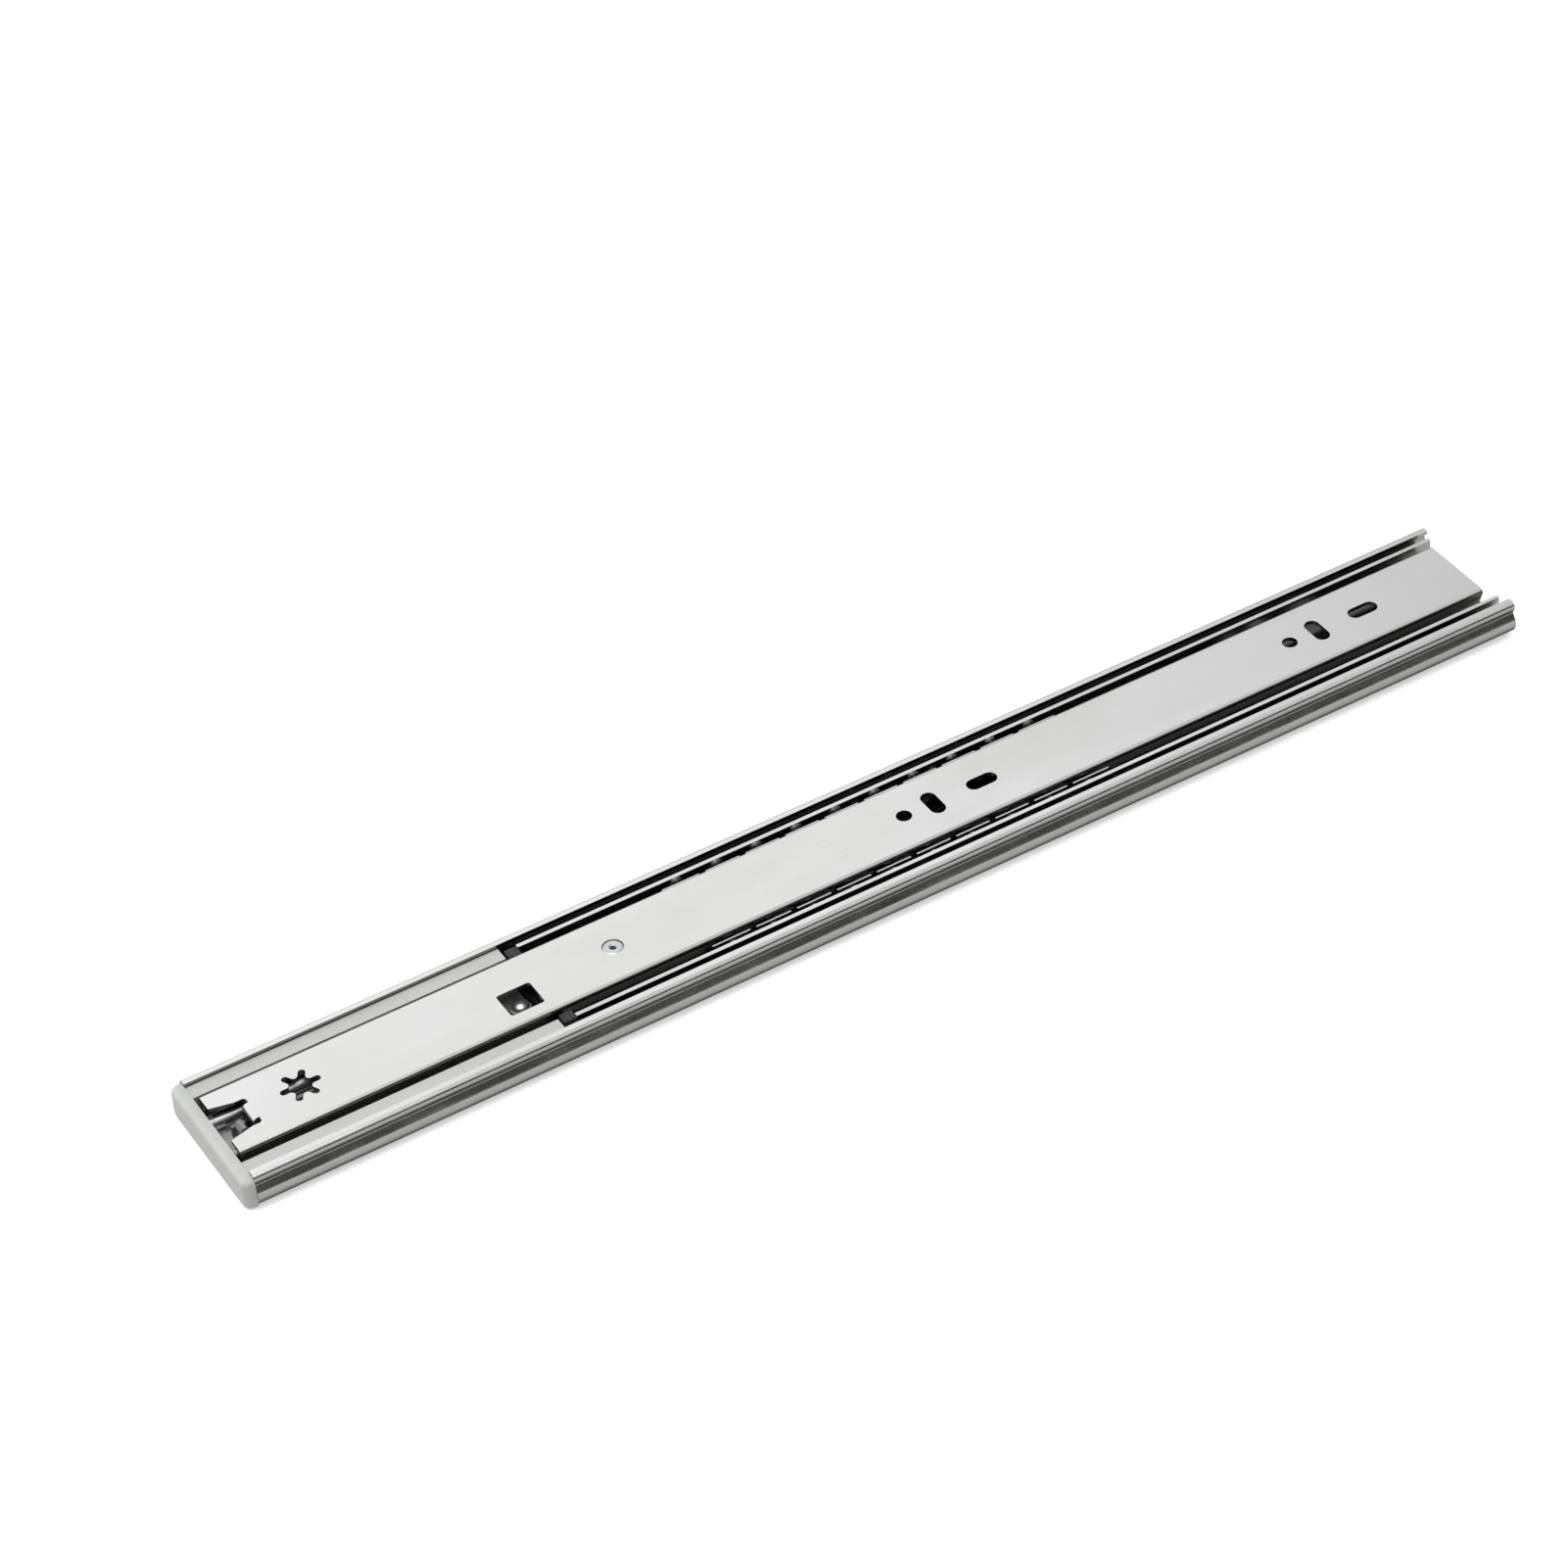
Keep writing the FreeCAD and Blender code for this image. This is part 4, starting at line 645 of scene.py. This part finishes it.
@dataclass
class SoftCloseUnit(SubAssembly):
    """The plastic housing with its damper, spring, carriage and catch."""

    finishes: dict[str, Finish] = field(default_factory=lambda: {
        "rear_housing": Finish.GREY_PLASTIC,
        "front_housing": Finish.GREY_PLASTIC,
        "front_housing_rivet": Finish.RIVET_STEEL,
        "rear_housing_rivets": Finish.RIVET_STEEL,
        "damper_cylinder": Finish.TUBE_ALUMINIUM,
        "damper_end_cap": Finish.BLACK_PLASTIC,
        "damper_piston": Finish.BLACK_PLASTIC,
        "damper_rod": Finish.RIVET_STEEL,
        "closing_spring": Finish.WIRE_STEEL,
        "catch_carriage": Finish.CARRIAGE_PLASTIC,
        "tilting_catch": Finish.CARRIAGE_PLASTIC,
        "catch_pin": Finish.RIVET_STEEL,
    })

    def build(self) -> list[bpy.types.Object]:
        """The spring's closed end coils, the damper's rolled rings and the carriage's grip ribs.

        Returns:
            The new pieces.
        """
        low, high = corners(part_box("closing_spring"))
        middle = (low + high) / 2
        made = []
        coils = (("rear", low.x + 0.75 * MM, "outer"), ("front", high.x - 0.75 * MM, "carriage"))
        for name, x, body in coils:
            shape = ring(Vector((x, middle.y, middle.z)), 1.7 * MM, 0.24 * MM, "X")
            made.append(finished(f"spring_{name}_coil", shape, body, Finish.WIRE_STEEL))
        low, high = corners(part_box("damper_cylinder"))
        middle = (low + high) / 2
        rolls = (("front", high.x - 0.9 * MM), ("inner", high.x - 4.6 * MM), ("rear", low.x + 1.0 * MM))
        for name, x in rolls:
            shape = ring(Vector((x, middle.y, middle.z)), 2.08 * MM, 0.14 * MM, "X")
            made.append(finished(f"damper_{name}_roll", shape, "outer", Finish.TUBE_ALUMINIUM))
        high = corners(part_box("catch_carriage"))[1]
        for number in range(4):
            x = high.x - (0.6 + 0.7 * number) * MM
            shape = rib(x, 0.15 * MM, (5.2 * MM, 8.9 * MM), high.z, 0.2 * MM, 0.08 * MM)
            name = f"carriage_rib_{number + 1}"
            made.append(finished(name, shape, "carriage", Finish.CARRIAGE_PLASTIC))
        return made


@dataclass
class MiddleSide(SubAssembly):
    """The middle member with its bumper and the inner ball retainer."""

    finishes: dict[str, Finish] = field(default_factory=lambda: {
        "middle_member": Finish.MIDDLE_STEEL,
        "middle_bumper": Finish.BLACK_PLASTIC,
        "bumper_rivet": Finish.RIVET_STEEL,
        "inner_ball_retainer": Finish.RETAINER_STEEL,
        "inner_balls_left": Finish.BALL_STEEL,
        "inner_balls_right": Finish.BALL_STEEL,
    })
    retainer_sheet: float = 0.5 * MM

    def build(self) -> list[bpy.types.Object]:
        """Ribs on the bumper's buffer and two beads on the inner retainer's web.

        Returns:
            The new pieces.
        """
        low, high = corners(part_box("middle_bumper"))
        made = []
        for side, sign in (("left", 1), ("right", -1)):
            for number in range(2):
                x = low.x + (0.9 + 1.8 * number) * MM
                start, stop = sorted((sign * (high.y - 3.2 * MM), sign * (high.y - 0.3 * MM)))
                shape = rib(x, 0.3 * MM, (start, stop), high.z, 0.2 * MM, 0.1 * MM)
                name = f"bumper_rib_{side}_{number + 1}"
                made.append(finished(name, shape, "middle", Finish.BLACK_PLASTIC))
        low, high = corners(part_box("inner_ball_retainer"))
        web = low.z + self.retainer_sheet
        for number, x in enumerate((low.x + 4 * MM, high.x - 4 * MM), start=1):
            shape = rib(x, 1.2 * MM, (-6 * MM, 6 * MM), web, 0.15 * MM, 0.1 * MM)
            name = f"inner_retainer_bead_{number}"
            made.append(finished(name, shape, "inner_retainer", Finish.RETAINER_STEEL))
        return made


@dataclass
class DrawerSide(SubAssembly):
    """The drawer member with its disconnect lever."""

    finishes: dict[str, Finish] = field(default_factory=lambda: {
        "drawer_member": Finish.DRAWER_STEEL,
        "lever_rivet": Finish.RIVET_STEEL,
        "disconnect_lever": Finish.BLACK_PLASTIC,
    })

    def build(self) -> list[bpy.types.Object]:
        """The eyelet's rolled rim and the finger ridges near the lever's tip.

        Returns:
            The new pieces.
        """
        eyelet = middle_of("lever_rivet")
        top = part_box("lever_rivet")[1][2]
        rim = ring(Vector((eyelet.x, eyelet.y, top - 0.12 * MM)), 1.25 * MM, 0.15 * MM, "Z")
        made = [finished("eyelet_rim", rim, "drawer", Finish.RIVET_STEEL)]
        high = corners(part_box("disconnect_lever"))[1]
        for number in range(4):
            x = high.x - (6.0 + 1.4 * number) * MM
            shape = rib(x, 0.3 * MM, (-2.0 * MM, 2.0 * MM), high.z, 0.15 * MM, 0.08 * MM)
            made.append(finished(f"lever_ridge_{number + 1}", shape, "lever", Finish.BLACK_PLASTIC))
        return made


# ---------------------------------------------------------------------------------------------------
# Studio


@dataclass
class Studio:
    """A pale floor, a softbox, the room's brightness and the camera.

    Attributes:
        room_levels: the room's brightness away from bright_side and towards it.
        bright_edge: where one level turns into the other, as a cosine from bright_side.
        card_grey: the dark card's brightness.
        card_edge: where the card starts and is full, as a cosine from the near side.
        card_top: where the card ends upwards, as a cosine from straight up.
        floor_drop: how far the floor lies under the slide.
    """

    camera_place: Vector = field(default_factory=lambda: Vector((-0.48722, -0.87008, 0.88468)))
    camera_right: Vector = field(default_factory=lambda: Vector((0.854487, -0.515563, -0.063620)))
    camera_up: Vector = field(default_factory=lambda: Vector((0.377800, 0.532712, 0.757288)))
    lens: float = 112.43
    floor_size: float = 12.0
    bright_side: Vector = field(default_factory=lambda: Vector((-0.5, 0.6, 0.62)))
    key_power: float = 12.0
    floor_glow: float = 0.5
    room_strength: float = 1.0
    room_levels: tuple[float, float] = (0.58, 0.96)
    bright_edge: tuple[float, float] = (0.50, 0.62)
    card_grey: float = 0.08
    card_edge: tuple[float, float] = (0.1, 0.4)
    card_top: tuple[float, float] = (0.40, 0.60)
    key_place: tuple[float, float, float] = (-0.5, -0.6, 1.6)
    key_size: tuple[float, float] = (1.2, 1.0)
    floor_drop: float = 0.0001
    sensor: float = 36.0

    def build_floor(self) -> bpy.types.Object:
        """A wide pale floor.

        Returns:
            The floor.
        """
        shape = bmesh.new()
        bmesh.ops.create_grid(shape, x_segments=1, y_segments=1, size=self.floor_size / 2)
        mesh = bpy.data.meshes.new("floor")
        shape.to_mesh(mesh)
        shape.free()
        floor = bpy.data.objects.new("floor", mesh)
        bpy.context.scene.collection.objects.link(floor)
        floor.location.z = -self.floor_drop
        board = SurfaceBoard("pale_floor")
        inputs = board.shader.inputs
        tone = board.noise(board.place(EVEN), 2.0, 2.0)
        pale = board.ramp(tone, [(0.3, (0.90, 0.90, 0.90)), (0.7, (0.93, 0.93, 0.93))])
        board.link(pale, inputs["Base Color"])
        inputs["Roughness"].default_value = 0.9
        inputs["Specular IOR Level"].default_value = 0.1
        inputs["Emission Color"].default_value = (1.0, 1.0, 1.0, 1.0)
        inputs["Emission Strength"].default_value = self.floor_glow
        mesh.materials.append(board.material)
        return floor

    def build_softbox(self) -> bpy.types.Object:
        """A rectangular soft light over the near side, facing the slide's middle.

        Returns:
            The light.
        """
        data = bpy.data.lights.new("overhead_softbox", "AREA")
        data.shape = "RECTANGLE"
        data.size, data.size_y = self.key_size
        data.energy = self.key_power
        light = bpy.data.objects.new("overhead_softbox", data)
        light.location = self.key_place
        light.rotation_euler = (-Vector(self.key_place)).to_track_quat("-Z", "Y").to_euler()
        bpy.context.scene.collection.objects.link(light)
        return light

    def build_room(self) -> None:
        """The room's brightness: brightest on the far left, with a dark card low on the near side."""
        world = bpy.data.worlds.new("studio_room")
        world.use_nodes = True
        board = NodeBoard(world.node_tree)
        output = board.add("ShaderNodeOutputWorld")
        background = board.add("ShaderNodeBackground")
        far = board.span(board.toward(self.bright_side), *self.room_levels, *self.bright_edge)
        near = board.span(board.toward(Vector((0.0, -1.0, 0.0))), 1.0, 0.0, *self.card_edge)
        high = board.span(board.toward(Vector((0.0, 0.0, 1.0))), 0.0, 1.0, *self.card_top)
        lit = board.join("MAXIMUM", board.join("MAXIMUM", near, high), self.card_grey)
        board.link(board.join("MULTIPLY", lit, far), background.inputs["Color"])
        background.inputs["Strength"].default_value = self.room_strength
        board.link(background.outputs["Background"], output.inputs["Surface"])
        bpy.context.scene.world = world

    def build_camera(self) -> bpy.types.Object:
        """The camera, above the near side and towards the rear end.

        Returns:
            The camera.
        """
        data = bpy.data.cameras.new("camera")
        data.sensor_width = self.sensor
        data.lens = self.lens
        data.clip_end = 50.0
        camera = bpy.data.objects.new("camera", data)
        back = self.camera_right.cross(self.camera_up)
        turn = Matrix((self.camera_right, self.camera_up, back)).transposed()
        camera.matrix_world = Matrix.Translation(self.camera_place) @ turn.to_4x4()
        bpy.context.scene.collection.objects.link(camera)
        bpy.context.scene.camera = camera
        return camera


def main() -> None:
    """Build each sub-assembly in order, dress it and set up the studio."""
    logging.basicConfig(level=logging.INFO, format="%(name)s: %(message)s")
    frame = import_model()
    for group in (CabinetSide(frame), SoftCloseUnit(frame), MiddleSide(frame), DrawerSide(frame)):
        for piece in group.build():
            LOG.info("built %s", piece.name)
        group.dress_nodes()
    studio = Studio()
    studio.build_floor()
    studio.build_softbox()
    studio.build_room()
    studio.build_camera()
    bpy.context.scene.view_settings.view_transform = "Standard"


if __name__ == "__main__":
    main()
